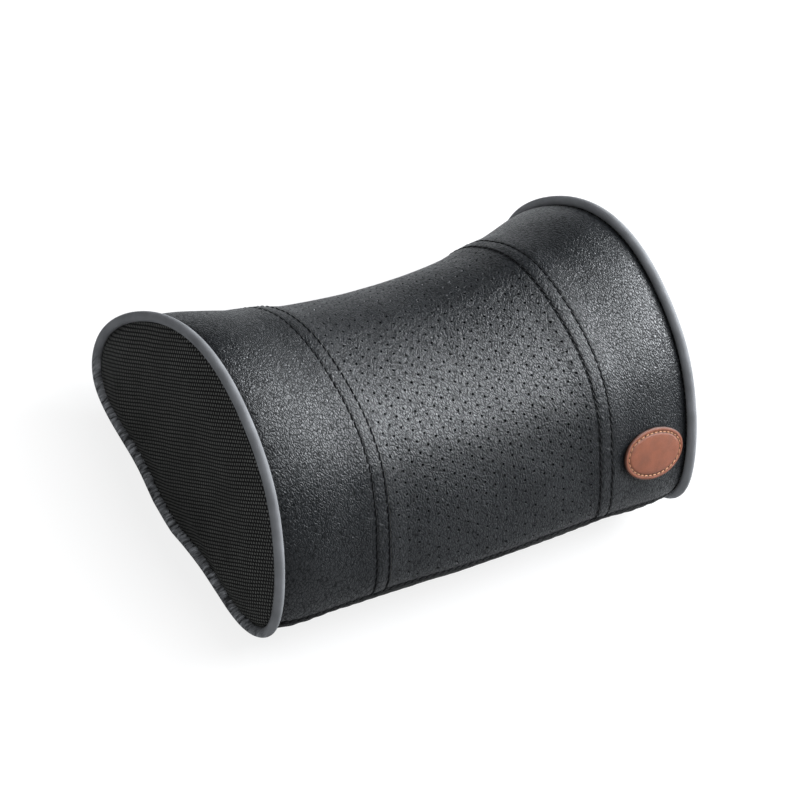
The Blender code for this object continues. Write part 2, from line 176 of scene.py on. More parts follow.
# The badge, the strap and the foam.
BADGE_STEPS = 144
BADGE_FOOT, BADGE_UNDER, BADGE_MIDDLE = 0.0002, 0.003, 0.0006
BADGE_SIDE = ((0.0, 0.5), (0.0001, 0.85))  # inset, and share of the height
BADGE_EDGE = ((0.0005, 0), (0.0012, 0.00012))
BADGE_GROOVE = ((-0.0008, 0.0001), (-0.0003, -0.0004), (0.0003, -0.0004), (0.0009, 0.0001), (0.002, 0.0002))
BADGE_PUFF, BADGE_PUFF_START, BADGE_PUFF_RINGS = 0.0003, 0.004, 8
BADGE_STITCH = (0.0034, 0.0026)  # pitch and length
BADGE_THREAD, BADGE_THREAD_SINK, BADGE_SLANT = 0.9, 0.0001, 6.0
STRAP_STEPS, STRAP_STEPS_ROUND = 240, 64
STRAP_SIDE_POWER, STRAP_SIDE_EASE, STRAP_FACE_POWER = 0.12, 0.06, 0.35  # a flat oval with full corners
FOAM_INSET = 0.0035
FOAM_ROWS, FOAM_COLUMNS = 110, 180

# The camera that took the photograph, in the part's frame.
CAMERA_PLACE = (-1.3012, -0.8292, 1.7630)
CAMERA_RIGHT = (0.78979, -0.49973, 0.35568)
CAMERA_UP = (0.24258, 0.78707, 0.56717)
CAMERA_LENS = 181.2
CAMERA_SENSOR = 36.0
CAMERA_CLIP = (0.01, 20)

# Each light: its name, the way to it, the way of its length, and its size.
LIGHTS = (
    ("side", (0.88, 0.0, 0.47), (0, 1, 0), (1.1, 0.7)),
    ("top", (0.42, -0.10, 0.90), (0.90, 0, -0.42), (1.8, 0.95)),
    ("fill", (-0.8, -0.35, 0.60), (0.3, -0.8, 0), (1.2, 0.8)),
)
LIGHT_COLOUR = (0.93, 0.965, 1.0)
LIT_POINT = (0, 0, 0.06)
LIGHT_DISTANCE = 1.8
FLOOR_HALF = 4.0


def blend(middle, end, share):
    return middle + (end - middle) * share


def eased(t):
    return t * t * (3 - 2 * t)


def smoothstep(low, high, value):
    """0 up to low, 1 from high, and smooth between."""
    return eased(np.clip((value - low) / (high - low), 0, 1))


def cover_box(x):
    """Lowest y, highest y, lowest z and highest z of the cover at x."""
    share = min(abs(x) / SEAM_X, 1)
    near_end = math.exp(-(SEAM_X - min(abs(x), SEAM_X)) / PINCH_REACH)
    lower = blend(-MID_DROP, -LOWER_PINCH, share**LOWER_POWER) + LOWER_PINCH * near_end
    upper = blend(MID_WIDTH - MID_DROP, END_WIDTH + UPPER_PINCH, share**UPPER_POWER) - UPPER_PINCH * near_end
    back = blend(MID_RISE, END_RISE, near_end)
    swollen = END_RISE + END_THICKNESS + FRONT_PINCH
    front = blend(MID_RISE + MID_THICKNESS, swollen, share**FRONT_POWER) - FRONT_PINCH * near_end
    return lower, upper, back, front


def smooth_closed(points):
    """The closed cubic spline through the points, with SPAN_STEPS points a span from the first one."""
    count = len(points)
    following = np.roll(points, -1, axis=0)
    spans = np.linalg.norm(following - points, axis=1) ** 0.5
    before = np.roll(spans, 1)
    slopes = (following - points) / spans[:, None]
    system = np.zeros((count, count))
    rows = np.arange(count)
    system[rows, rows - 1] = before
    system[rows, rows] = 2 * (before + spans)
    system[rows, (rows + 1) % count] = spans
    bends = np.linalg.solve(system, 6 * (slopes - np.roll(slopes, 1, axis=0)))
    after = np.roll(bends, -1, axis=0)
    s = np.arange(SPAN_STEPS)[None, :, None] / SPAN_STEPS * spans[:, None, None]
    length = spans[:, None, None]
    rest = length - s
    curve = (bends[:, None] * rest**3 + after[:, None] * s**3) / (6 * length)
    curve += (points[:, None] / length - bends[:, None] * length / 6) * rest
    curve += (following[:, None] / length - after[:, None] * length / 6) * s
    return curve.reshape(-1, 2)


def section(x):
    """The cover's outline at x, as (y, z)."""
    lower, upper, back, front = cover_box(x)
    share = min(abs(x) / SEAM_X, 1) ** OUTLINE_POWER
    outline = blend(np.array(MID_OUTLINE), np.array(END_OUTLINE), share)
    curve = smooth_closed(outline * (upper - lower, front - back) + (lower, back))
    curve[:, 1] = np.maximum(curve[:, 1], back)
    return curve


@functools.lru_cache(maxsize=None)
def girth(x):
    """The outline at x from the lower seam round, the length along it, the front's length and the whole."""
    curve = np.roll(section(x), -LOWER_SEAM * SPAN_STEPS, axis=0)
    steps = np.linalg.norm(np.roll(curve, -1, axis=0) - curve, axis=1)
    lengths = np.concatenate([[0], np.cumsum(steps)])
    return curve, lengths[:-1], lengths[(UPPER_SEAM - LOWER_SEAM) * SPAN_STEPS], lengths[-1]


def on_cover(x, distances):
    """Points (y, z) of the cover at x, at distances along it from the lower seam, up the front."""
    curve, lengths, _, whole = girth(x)
    return np.column_stack([np.interp(distances, lengths, curve[:, k], period=whole) for k in (0, 1)])


def width_middle():
    """The y half way across the whole pillow, which the part's frame counts as 0."""
    lowest = section(0)[:, 0].min() - GAP - THREAD
    highest = section(SEAM_X)[:, 0].max() + PIPE_DIAMETER
    return (lowest + highest) / 2


MIDDLE_Y = width_middle()


def cubic_weights(t):
    """Weights of the four neighbours of a point at share t between the middle two."""
    return np.array([
        -0.5 * t + t**2 - 0.5 * t**3,
        1 - 2.5 * t**2 + 1.5 * t**3,
        0.5 * t + 2 * t**2 - 1.5 * t**3,
        -0.5 * t**2 + 0.5 * t**3,
    ])


def finer(values, places, axis):
    """Values on a coarse grid read smoothly at fractional places along an axis."""
    values = np.moveaxis(values, axis, 0)
    low = np.floor(places).astype(int)
    weights = cubic_weights(places - low)
    found = 0
    for k in range(4):
        at = np.clip(low + k - 1, 0, len(values) - 1)
        found = found + weights[k].reshape(-1, *[1] * (values.ndim - 1)) * values[at]
    return np.moveaxis(found, 0, axis)


class Cover:
    """The cover's surface on a fine grid: rows along x, and columns round it from the lower seam."""

    def __init__(self):
        count = round(2 * SEAM_X / FIELD_STEP)
        self.xs = np.linspace(-SEAM_X, SEAM_X, count + 1)
        self.fronts = np.array([girth(float(x))[2] for x in self.xs])
        self.wholes = np.array([girth(float(x))[3] for x in self.xs])
        self.turns = round(self.wholes.max() / FIELD_STEP)
        shares = np.arange(self.turns + 1) / self.turns
        rows = []
        for x, whole in zip(self.xs, self.wholes):
            flat = on_cover(float(x), shares * whole)
            rows.append(np.column_stack([np.full(len(flat), x), flat[:, 0] - MIDDLE_Y, flat[:, 1]]))
        self.points = np.array(rows)
        self.find_normals()

    def find_normals(self):
        wrapped = np.concatenate([self.points[:, -3:-1], self.points, self.points[:, 1:3]], axis=1)
        run = np.gradient(wrapped, axis=1)[:, 2:-2]
        rise = np.gradient(self.points, self.xs, axis=0)
        normals = np.cross(rise, run)
        self.normals = normals / np.linalg.norm(normals, axis=2)[..., None]

    def front(self, x):
        return np.interp(x, self.xs, self.fronts)

    def whole(self, x):
        return np.interp(x, self.xs, self.wholes)

    def at(self, x, distance, height=0.0):
        """Points of the cover at x and a distance round from the lower seam, raised by height."""
        x, distance, height = np.broadcast_arrays(x, distance, height)
        row = np.clip((x - self.xs[0]) / (self.xs[1] - self.xs[0]), 0, len(self.xs) - 1.001)
        column = (distance / self.whole(x) % 1.0) * self.turns
        i, j = row.astype(int), np.minimum(column.astype(int), self.turns - 1)
        s, t = (row - i)[..., None], (column - j)[..., None]

        def read(grid):
            low = grid[i, j] * (1 - t) + grid[i, j + 1] * t
            high = grid[i + 1, j] * (1 - t) + grid[i + 1, j + 1] * t
            return low * (1 - s) + high * s

        normals = read(self.normals)
        normals /= np.linalg.norm(normals, axis=-1)[..., None]
        return read(self.points) + normals * height[..., None], normals

    def swell(self, heights):
        """Raises the whole grid by heights, one for each point."""
        self.points = self.points + self.normals * heights[..., None]
        self.find_normals()


def add_object(name, data):
    """A new object with this data, in the scene."""
    obj = bpy.data.objects.new(name, data)
    bpy.context.scene.collection.objects.link(obj)
    return obj


def new_mesh_object(name, vertices, faces, smooth=True):
    """A new object with a mesh of these vertices and faces."""
    mesh = bpy.data.meshes.new(name)
    mesh.from_pydata([tuple(map(float, v)) for v in vertices], [], [tuple(map(int, f)) for f in faces])
    mesh.update()
    if smooth:
        mesh.shade_smooth()
    return add_object(name, mesh)


def grid_faces(rows, columns, wrap_columns=False):
    """Faces between the points of a grid, each as four places in its flat list."""
    i, j = np.meshgrid(np.arange(rows - 1), np.arange(columns - (not wrap_columns)), indexing="ij")
    start, j = i.ravel() * columns, j.ravel()
    below, right = start + columns, (j + 1) % columns
    return np.column_stack([start + j, below + j, below + right, start + right])


def sheet_faces(rows, columns):
    """Faces of a closed cloth: an outer grid, an inner grid after it, and the edge between."""
    size = rows * columns
    outer = grid_faces(rows, columns)
    inner = outer[:, ::-1] + size
    edge = list(range(columns)) + [i * columns + columns - 1 for i in range(1, rows)]
    edge += [(rows - 1) * columns + j for j in range(columns - 2, -1, -1)]
    edge += [i * columns for i in range(rows - 2, 0, -1)]
    after = edge[1:] + edge[:1]
    rim = np.array([(a, b, b + size, a + size) for a, b in zip(edge, after)])
    return np.vstack([outer, inner, rim])


def face_out(obj):
    """Turns the faces outwards, if the closed mesh came out inside out."""
    build = bmesh.new()
    build.from_mesh(obj.data)
    if build.calc_volume(signed=True) < 0:
        bmesh.ops.reverse_faces(build, faces=build.faces)
        build.to_mesh(obj.data)
    build.free()


def sheet_object(name, outer, inner):
    """A closed cloth between two grids of points."""
    vertices = np.vstack([outer.reshape(-1, 3), inner.reshape(-1, 3)])
    obj = new_mesh_object(name, vertices, sheet_faces(*outer.shape[:2]))
    face_out(obj)
    return obj


def tube_object(name, rings):
    """A closed body over rings of points, with a flat cap at each end."""
    count, around = rings.shape[:2]
    last = (count - 1) * around
    caps = [range(around), range(last, last + around)]
    obj = new_mesh_object(name, rings.reshape(-1, 3), [*grid_faces(count, around, wrap_columns=True), *caps])
    build = bmesh.new()
    build.from_mesh(obj.data)
    bmesh.ops.recalc_face_normals(build, faces=build.faces)
    build.to_mesh(obj.data)
    build.free()
    return obj


def add_uv(obj, uvs):
    """A UV map in metres, from one (u, v) for each vertex."""
    layer = obj.data.uv_layers.new(name="cloth")
    corners = np.empty(len(obj.data.loops), np.int32)
    obj.data.loops.foreach_get("vertex_index", corners)
    layer.data.foreach_set("uv", np.asarray(uvs, np.float32)[corners].ravel())


def noise_1d(place, seed, length):
    """Smooth noise from -1 to 1 along a line, with features of about this length."""
    knots = np.random.default_rng(seed).uniform(-1, 1, LINE_KNOTS)
    t = np.asarray(place) / length + LINE_START
    low = np.floor(t).astype(int)
    share = eased(t - low)
    return knots[low % LINE_KNOTS] * (1 - share) + knots[(low + 1) % LINE_KNOTS] * share


def noise_2d(u, v, seed, length):
    """Smooth noise from -1 to 1 over a surface, with features of about this length."""
    knots = np.random.default_rng(seed).uniform(-1, 1, (FIELD_KNOTS, FIELD_KNOTS))
    a, b = np.asarray(u) / length + FIELD_START, np.asarray(v) / length + FIELD_START
    i, j = np.floor(a).astype(int), np.floor(b).astype(int)
    s, t = eased(a - i), eased(b - j)
    i, j, after, above = i % FIELD_KNOTS, j % FIELD_KNOTS, (i + 1) % FIELD_KNOTS, (j + 1) % FIELD_KNOTS
    low = knots[i, j] * (1 - t) + knots[i, above] * t
    high = knots[after, j] * (1 - t) + knots[after, above] * t
    return low * (1 - s) + high * s


def seam_looseness(x, distance):
    """0 at the seams, which hold the cover, to 1 in the middle of a panel."""
    front, whole = COVER.front(x), COVER.whole(x)
    from_seam = np.minimum(np.abs(distance), np.minimum(np.abs(distance - front), np.abs(whole - distance)))
    loose = smoothstep(0, SEAM_HOLD, from_seam) * smoothstep(0, END_HOLD, SEAM_X - np.abs(x))
    from_row = np.minimum(np.abs(np.abs(x) - INNER_ROW_X), np.abs(np.abs(x) - OUTER_ROW_X))
    on_front = smoothstep(0, FRONT_EASE, distance) * smoothstep(0, FRONT_EASE, front - distance)
    return loose * (1 - on_front * (1 - smoothstep(*ROW_HOLD, from_row)))


def swollen_heights(settings):
    """How far Cloth pushes the cover out between its seams, on a coarse net round the pillow."""
    xs = np.linspace(-SEAM_X, SEAM_X, NET_ROWS)
    shares = np.arange(NET_COLUMNS) / NET_COLUMNS
    x_grid, share_grid = np.meshgrid(xs, shares, indexing="ij")
    distance = share_grid * COVER.whole(x_grid)
    loose = seam_looseness(x_grid, distance)
    start, normals = COVER.at(x_grid, distance, -settings.slack * loose)
    faces = list(grid_faces(NET_ROWS, NET_COLUMNS, wrap_columns=True))
    faces.append(range(NET_COLUMNS))
    faces.append([(NET_ROWS - 1) * NET_COLUMNS + j for j in reversed(range(NET_COLUMNS))])
    pad = new_mesh_object("cover_for_cloth", start.reshape(-1, 3), faces)
    face_out(pad)
    pins = pad.vertex_groups.new(name="seams")
    for index, weight in enumerate(1 - np.minimum(loose.ravel() * PIN_FADE, 1)):
        pins.add([index], float(weight), "REPLACE")
    cloth = pad.modifiers.new("Cloth", "CLOTH")
    for name, value in CLOTH_SETTINGS.items():
        setattr(cloth.settings, name, value)
    cloth.settings.uniform_pressure_force = settings.pressure
    cloth.settings.effector_weights.gravity = 0
    cloth.settings.vertex_group_mass = "seams"
    cloth.point_cache.frame_start, cloth.point_cache.frame_end = 1, settings.frames
    for step in range(1, settings.frames + 1):
        bpy.context.scene.frame_set(step)
    swollen = np.empty(start.size, np.float32)
    evaluated = pad.evaluated_get(bpy.context.evaluated_depsgraph_get())
    evaluated.data.vertices.foreach_get("co", swollen)
    moved = ((swollen.reshape(start.shape) - start) * normals).sum(axis=2)
    bpy.data.objects.remove(pad)
    bpy.context.scene.frame_set(1)
    print("cloth moved the cover by", moved.min().round(5), "to", moved.max().round(5))
    heights = np.clip(moved, 0, 2 * settings.slack) - settings.slack * loose
    heights = np.concatenate([heights, heights[:, :1]], axis=1)
    places_x = np.linspace(0, NET_ROWS - 1, len(COVER.xs))
    places_round = np.linspace(0, NET_COLUMNS, COVER.turns + 1)
    return finer(finer(heights, places_x, 0), places_round, 1)


def relief(x, distance, settings):
    """Height of the leathercloth over the swollen cover: seams, stitch grooves, puckers and soft folds."""
    across, side = np.abs(x), np.sign(x)
    height = np.zeros(np.broadcast(x, distance).shape)
    stitch = np.cos(2 * math.pi * distance / settings.pitch)
    for row in (INNER_ROW_X, OUTER_ROW_X):
        off = across - row
        groove = np.exp(-((off / GROOVE_WIDTH) ** 2))
        height = height - settings.groove * groove * (0.75 + 0.25 * stitch)
        pucker = np.exp(-np.abs(off) / PUCKER_REACH) * (1 - groove)
        uneven = 0.6 + 0.4 * noise_2d(distance, side * row, 5, PUCKER_LENGTH)
        height = height + settings.pucker * pucker * stitch * uneven
    band = np.clip((across - INNER_ROW_X) / (OUTER_ROW_X - INNER_ROW_X), 0, 1)
    height = height + BAND_HEIGHT * np.sin(math.pi * band)
    wave = noise_2d(distance, side * 7, 11, ROW_WAVE_LENGTH)
    height = height + ROW_WAVE * wave * np.exp(-np.abs(across - OUTER_ROW_X) / ROW_WAVE_REACH)
    for away in (distance, COVER.front(x) - distance):
        height = height - SEAM_DIP * np.exp(-((away / SEAM_DIP_WIDTH) ** 2))
    lower_groove = np.exp(-(((distance - LOWER_ROW_LIFT - LOWER_GROOVE_SHIFT) / LOWER_GROOVE_WIDTH) ** 2))
    lower_stitch = 0.8 + 0.2 * np.cos(2 * math.pi * x / settings.pitch)
    height = height - 0.8 * settings.groove * lower_groove * lower_stitch
    from_end = SEAM_X - across
    turns = 2 * math.pi * distance / GATHER_PITCH + 2 * noise_1d(distance, 9, GATHER_DRIFT)
    gathers = noise_1d(distance, 4, GATHER_LENGTH) * np.sin(turns)
    fade = np.exp(-from_end / GATHER_REACH) * smoothstep(0, GATHER_START, from_end)
    height = height + settings.end_gather * gathers * fade
    hollows = 0.6 * noise_2d(x, distance, 21, HOLLOW_LENGTH)
    hollows = hollows + 0.3 * noise_2d(x, distance, 22, SMALL_HOLLOW_LENGTH)
    return height + settings.unevenness * hollows * smoothstep(0, HOLLOW_START, from_end)


def uneven_places(lines, ends):
    """Rising places from ends[0] to ends[1], close together near the given lines and wide apart elsewhere."""
    found = [ends[0]]
    while found[-1] < ends[1]:
        near = min(abs(found[-1] - line) for line in lines)
        found.append(found[-1] + blend(CLOSE_STEP, WIDE_STEP, float(smoothstep(*STEP_CHANGE, near))))
    found = np.array(found)
    return ends[0] + (found - ends[0]) * (ends[1] - ends[0]) / (found[-1] - ends[0])


class Nodes:
    """A node tree, and short ways to add nodes to it."""

    def __init__(self, tree):
        self.tree = tree

    def node(self, kind, values=(), **options):
        """A new node with these options, and these values or links on its inputs."""
        made = self.tree.nodes.new(kind)
        for key, value in options.items():
            setattr(made, key, value)
        for key, value in dict(values).items():
            self.feed(made.inputs[key], value)
        return made

    def out(self, kind, values=(), **options):
        """The first output of a new node."""
        return self.node(kind, values, **options).outputs[0]

    def feed(self, socket, value):
        """Links the output to the socket, or sets its value."""
        if isinstance(value, bpy.types.NodeSocket):
            self.tree.links.new(value, socket)
        else:
            socket.default_value = value

    def math(self, operation, *values):
        return self.out("ShaderNodeMath", dict(enumerate(values)), operation=operation)

    def plus(self, first, second):
        return self.math("ADD", first, second)

    def minus(self, first, second):
        return self.math("SUBTRACT", first, second)

    def times(self, first, second):
        return self.math("MULTIPLY", first, second)

    def over(self, first, second):
        return self.math("DIVIDE", first, second)

    def vector(self, operation, first, second):
        return self.out("ShaderNodeVectorMath", {0: first, 1: second}, operation=operation)


def tint(colour, times):
    """The colour made lighter or darker, with its alpha."""
    return (*(times * c for c in colour), 1)


class Shader(Nodes):
    """A Principled material, and short ways to add its textures."""

    def __init__(self, name, colour, roughness, specular=0.5):
        self.material = bpy.data.materials.new(name)
        self.material.use_nodes = True
        super().__init__(self.material.node_tree)
        self.principled = self.tree.nodes["Principled BSDF"]
        self.principled.inputs["Base Color"].default_value = (*colour, 1)
        self.principled.inputs["Roughness"].default_value = roughness
        self.principled.inputs["Specular IOR Level"].default_value = specular
        self.material.diffuse_color = (*colour, 1)

    def place(self, scale=(1, 1, 1), turn=(0, 0, 0), uv=False):
        """Object coordinates, or those of the cloth's own map."""
        source = self.node("ShaderNodeUVMap", uv_map="cloth") if uv else self.node("ShaderNodeTexCoord")
        socket = source.outputs["UV" if uv else "Object"]
        return self.out("ShaderNodeMapping", {"Vector": socket, "Scale": scale, "Rotation": turn})

    def lean(self, vector, turn, longer):
        """The vector with what is laid on it longer along a way turned by this many degrees."""
        turned, scale = (0, 0, math.radians(turn)), (longer, 1 / longer**0.5, 1)
        values = {"Vector": vector, "Rotation": turned, "Scale": scale}
        return self.out("ShaderNodeMapping", values, vector_type="TEXTURE")

    def cells(self, vector, scale):
        """The distance to the edge of the nearest cell."""
        values = {"Vector": vector, "Scale": scale}
        return self.out("ShaderNodeTexVoronoi", values, feature="DISTANCE_TO_EDGE")

    def noise(self, vector, scale, detail=3.0, roughness=0.5, distortion=0.0):
        values = {"Vector": vector, "Scale": scale, "Detail": detail, "Roughness": roughness}
        return self.out("ShaderNodeTexNoise", {**values, "Distortion": distortion})

    def wave(self, values, way):
        """Bands across this way."""
        return self.node("ShaderNodeTexWave", values, bands_direction=way).outputs["Fac"]

    def ramp(self, value, *stops):
        """The value read off a ramp with stops of (place, number or colour)."""
        made = self.node("ShaderNodeValToRGB", {"Fac": value})
        elements = made.color_ramp.elements
        while len(elements) < len(stops):
            elements.new(0.5)
        for element, (place, colour) in zip(elements, stops):
            element.position = place
            element.color = colour if isinstance(colour, tuple) else (colour, colour, colour, 1)
        return made.outputs["Color"]

    def mix(self, share, first, second):
        """The first colour, with this share of the second."""
        made = self.node("ShaderNodeMix", data_type="RGBA")
        for index, value in ((0, share), (6, first), (7, second)):
            self.feed(made.inputs[index], value)
        return made.outputs[2]

    def bump(self, height, strength, distance):
        return self.out("ShaderNodeBump", {"Height": height, "Strength": strength, "Distance": distance})

    def finish(self, colour, normal):
        """Links the colour and the normal, and returns the material."""
        self.feed(self.principled.inputs["Base Color"], colour)
        self.feed(self.principled.inputs["Normal"], normal)
        return self.material


def leathercloth_material(settings):
    """Black leathercloth with a grain of long pebbles that lean both ways, on the cloth's own map, with
    painted shade in the grain's cracks.
    """
    base = settings.leather_colour
    shader = Shader("black leathercloth", base, settings.leather_roughness)
    place = shader.place(uv=True)
    warp = shader.node("ShaderNodeTexNoise", {"Vector": place, "Scale": 300.0, "Detail": 1.0})
    warp = shader.vector("MULTIPLY", warp.outputs["Color"], (0.0011, 0.0011, 0))
    warped = shader.vector("ADD", place, warp)
    large = shader.cells(shader.lean(warped, -67, 1.6), 1 / settings.grain)
    small = shader.cells(shader.lean(warped, 53, 1.7), 1.35 / settings.grain)
    pebbles = shader.ramp(large, (0.0, 0.0), (0.10, 0.55), (0.28, 0.9), (0.5, 1.0))
    beads = shader.ramp(small, (0.0, 0.0), (0.12, 0.6), (0.4, 1.0))
    creases = shader.noise(shader.lean(place, 60, 2.4), 160.0, 1.5, 0.5, 1.2)
    lines = shader.ramp(shader.math("ABSOLUTE", shader.minus(creases, 0.5)), (0.0, 0.0), (0.035, 1.0))
    height = shader.plus(shader.times(pebbles, 0.7), shader.times(lines, 0.3))
    height = shader.plus(height, shader.times(beads, 0.45))
    tone = shader.ramp(shader.noise(place, 45.0, 2.0), (0.3, tint(base, 0.9)), (0.7, tint(base, 1.12)))
    # Painted shade in the grain's cracks: the colour falls to 0.3 of the base at the cell edges, and below,
    # the specular level falls there too.
    colour = shader.mix(shader.ramp(large, (0.0, 1.0), (0.12, 0.0)), tone, tint(base, 0.3))
    shine = shader.ramp(large, (0.0, 0.14), (0.12, 0.5))
    shine = shader.times(shine, shader.ramp(small, (0.0, 0.6), (0.08, 1.0)))
    shader.feed(shader.principled.inputs["Specular IOR Level"], shine)
    rough = shader.plus(settings.leather_roughness, shader.times(shader.minus(1.0, pebbles), 0.2))
    shader.feed(shader.principled.inputs["Roughness"], rough)
    return shader.finish(colour, shader.bump(height, settings.grain_strength, settings.grain_depth))


def hole_material():
    """The dark inside of a perforation."""
    shader = Shader("perforation", (0.004, 0.004, 0.004), 0.95, 0.0)
    speck = shader.noise(shader.place(), 2500.0, 2.0)
    shader.feed(shader.principled.inputs["Base Color"], shader.ramp(speck, (0.3, 0.002), (0.7, 0.006)))
    return shader.material


def mesh_material(settings):
    """Black mesh cloth: rows of short bars with dark openings between them."""
    base = settings.mesh_colour
    shader = Shader("black mesh cloth", base, 0.75, 0.15)
    place = shader.node("ShaderNodeSeparateXYZ", {"Vector": shader.place(turn=(settings.mesh_turn, 0, 0))})
    wander = shader.times(shader.minus(shader.noise(shader.place(), 22.0, 2.0), 0.5), 0.003)
    across = shader.over(shader.plus(place.outputs[2], wander), settings.mesh_row)
    odd = shader.times(shader.math("MODULO", shader.math("FLOOR", across), 2.0), 0.5)
    along = shader.plus(shader.over(place.outputs[1], settings.mesh_bar), odd)
    bar, line = (shader.times(shader.math("PINGPONG", value, 0.5), 2.0) for value in (along, across))
    height = shader.ramp(bar, (0.30, 0.0), (0.62, 1.0))
    height = shader.times(height, shader.ramp(line, (0.22, 0.0), (0.60, 1.0)))
    fibre = shader.noise(shader.place(), 4200.0, 3.0)
    normal = shader.bump(shader.plus(height, shader.times(fibre, 0.35)), 0.7, 0.0005)
    patches = shader.noise(shader.place(), 60.0, 3.0)
    bright = shader.ramp(patches, (0.3, tint(base, 0.75)), (0.7, tint(base, 1)))
    return shader.finish(shader.mix(height, tint(base, 0.03), bright), normal)


def back_cloth_material():
    """Plain woven black cloth."""
    base, thread = (0.011, 0.011, 0.011), 0.0007
    shader = Shader("black back cloth", base, 0.9)
    values = {"Vector": shader.place(), "Scale": 1 / thread / 10, "Distortion": 0.6, "Detail": 1.0}
    weave = shader.times(shader.wave(values, "X"), shader.wave(values, "Y"))
    fibre = shader.noise(shader.place(), 3000.0, 3.0)
    normal = shader.bump(shader.plus(weave, shader.times(fibre, 0.4)), 0.6, thread * 0.5)
    return shader.finish(shader.mix(weave, tint(base, 0.5), tint(base, 1.3)), normal)


def piping_material(settings):
    """Smooth grey leathercloth, drawn tight over a cord, with creases where it is gathered near the floor,
    and painted shade and highlights on those creases.
    """
    base = settings.piping_colour
    shader = Shader("grey piping", base, 0.68, 0.25)
    place = shader.place()
    height = shader.plus(shader.noise(place, 1800.0, 3.0), shader.times(shader.noise(place, 260.0, 2.0), 1.5))
    streaks = shader.noise(shader.place(scale=(0.2, 1.0, 0.2)), 680.0, 2.0, 0.5, 0.5)
    rise = shader.node("ShaderNodeSeparateXYZ", {"Vector": place}).outputs[2]
    gathered = shader.ramp(rise, (0.016, 1.0), (0.034, 0.0))
    height = shader.plus(height, shader.times(streaks, shader.times(gathered, 10.0)))
    colour = shader.ramp(shader.noise(place, 90.0, 3.0), (0.3, tint(base, 0.82)), (0.7, tint(base, 1.12)))
    # Painted shade in the hollows of the gathered creases (deep), and painted highlights on their ridges
    # (high).
    deep = shader.times(gathered, shader.ramp(streaks, (0.36, 0.9), (0.48, 0.0)))
    high = shader.times(gathered, shader.ramp(streaks, (0.54, 0.0), (0.68, 0.8)))
    colour = shader.mix(high, shader.mix(deep, colour, tint(base, 0.14)), tint(base, 2.4))
    return shader.finish(colour, shader.bump(height, 0.35, 0.00025))


def thread_material(name, colour):
    """Twisted sewing thread."""
    shader = Shader(name, colour, 0.6, 0.2)
    twist = shader.wave({"Vector": shader.place(), "Scale": 900.0, "Distortion": 1.5}, "DIAGONAL")
    mixed = shader.mix(twist, tint(colour, 0.5), tint(colour, 1))
    return shader.finish(mixed, shader.bump(twist, 0.5, 0.0002))


def badge_material(settings):
    """Tan leather with a fine grain, cloudy, and darker in its pores, with painted shade at its edge and in
    the groove of its stitches.
    """
    base = settings.badge_colour
    shader = Shader("tan leather", base, 0.5)
    place = shader.place()
    dark = tint(base, 0.72)
    tone = shader.ramp(shader.noise(place, 120.0, 4.0, 0.6), (0.3, dark), (0.7, tint(base, 1.18)))
    pores = shader.ramp(shader.cells(place, 1900.0), (0.0, 0.0), (0.2, 1.0))
    colour = shader.mix(shader.times(shader.minus(1.0, pores), 0.5), tone, dark)
    inset = shader.out("ShaderNodeSeparateXYZ", {"Vector": shader.place(uv=True)})
    # Painted shade: a thin dark line at the badge's edge, and a darker band in the groove where the stitches
    # lie.
    edge = (0.0, 0.9), (0.06, 0.55), (0.12, 0.0)
    stitches = (0.26, 0.05), (0.32, 0.8), (0.40, 0.75), (0.47, 0.1), (0.8, 0.0)
    edge_and_groove_shade = shader.ramp(shader.over(inset, 0.008), *edge, *stitches)
    return shader.finish(shader.mix(edge_and_groove_shade, colour, tint(base, 0.22)), shader.bump(pores, 0.45, 0.00015))


def foam_material():
    """Pale open foam."""
    shader = Shader("foam", (0.70, 0.64, 0.48), 0.95)
    cells = shader.out("ShaderNodeTexVoronoi", {"Vector": shader.place(), "Scale": 1400.0})
    colour = shader.ramp(cells, (0.0, (0.52, 0.46, 0.33, 1)), (0.5, (0.72, 0.66, 0.50, 1)))
    return shader.finish(colour, shader.bump(cells, 0.6, 0.0005))


def elastic_material():
    """Ribbed elastic, with its ribs along the strap."""
    shader = Shader("black elastic", (0.015, 0.015, 0.015), 0.8)
    values = {"Vector": shader.place(), "Scale": 1 / 0.0015 / 3.1, "Distortion": 0.3}
    ribs = shader.wave(values, "Y")
    picks = shader.wave({**values, "Scale": 1 / 0.0009 / 3.1}, "X")
    colour = shader.mix(ribs, (0.008, 0.008, 0.008, 1), (0.03, 0.03, 0.03, 1))
    return shader.finish(colour, shader.bump(shader.plus(ribs, shader.times(picks, 0.4)), 0.7, 0.0004))


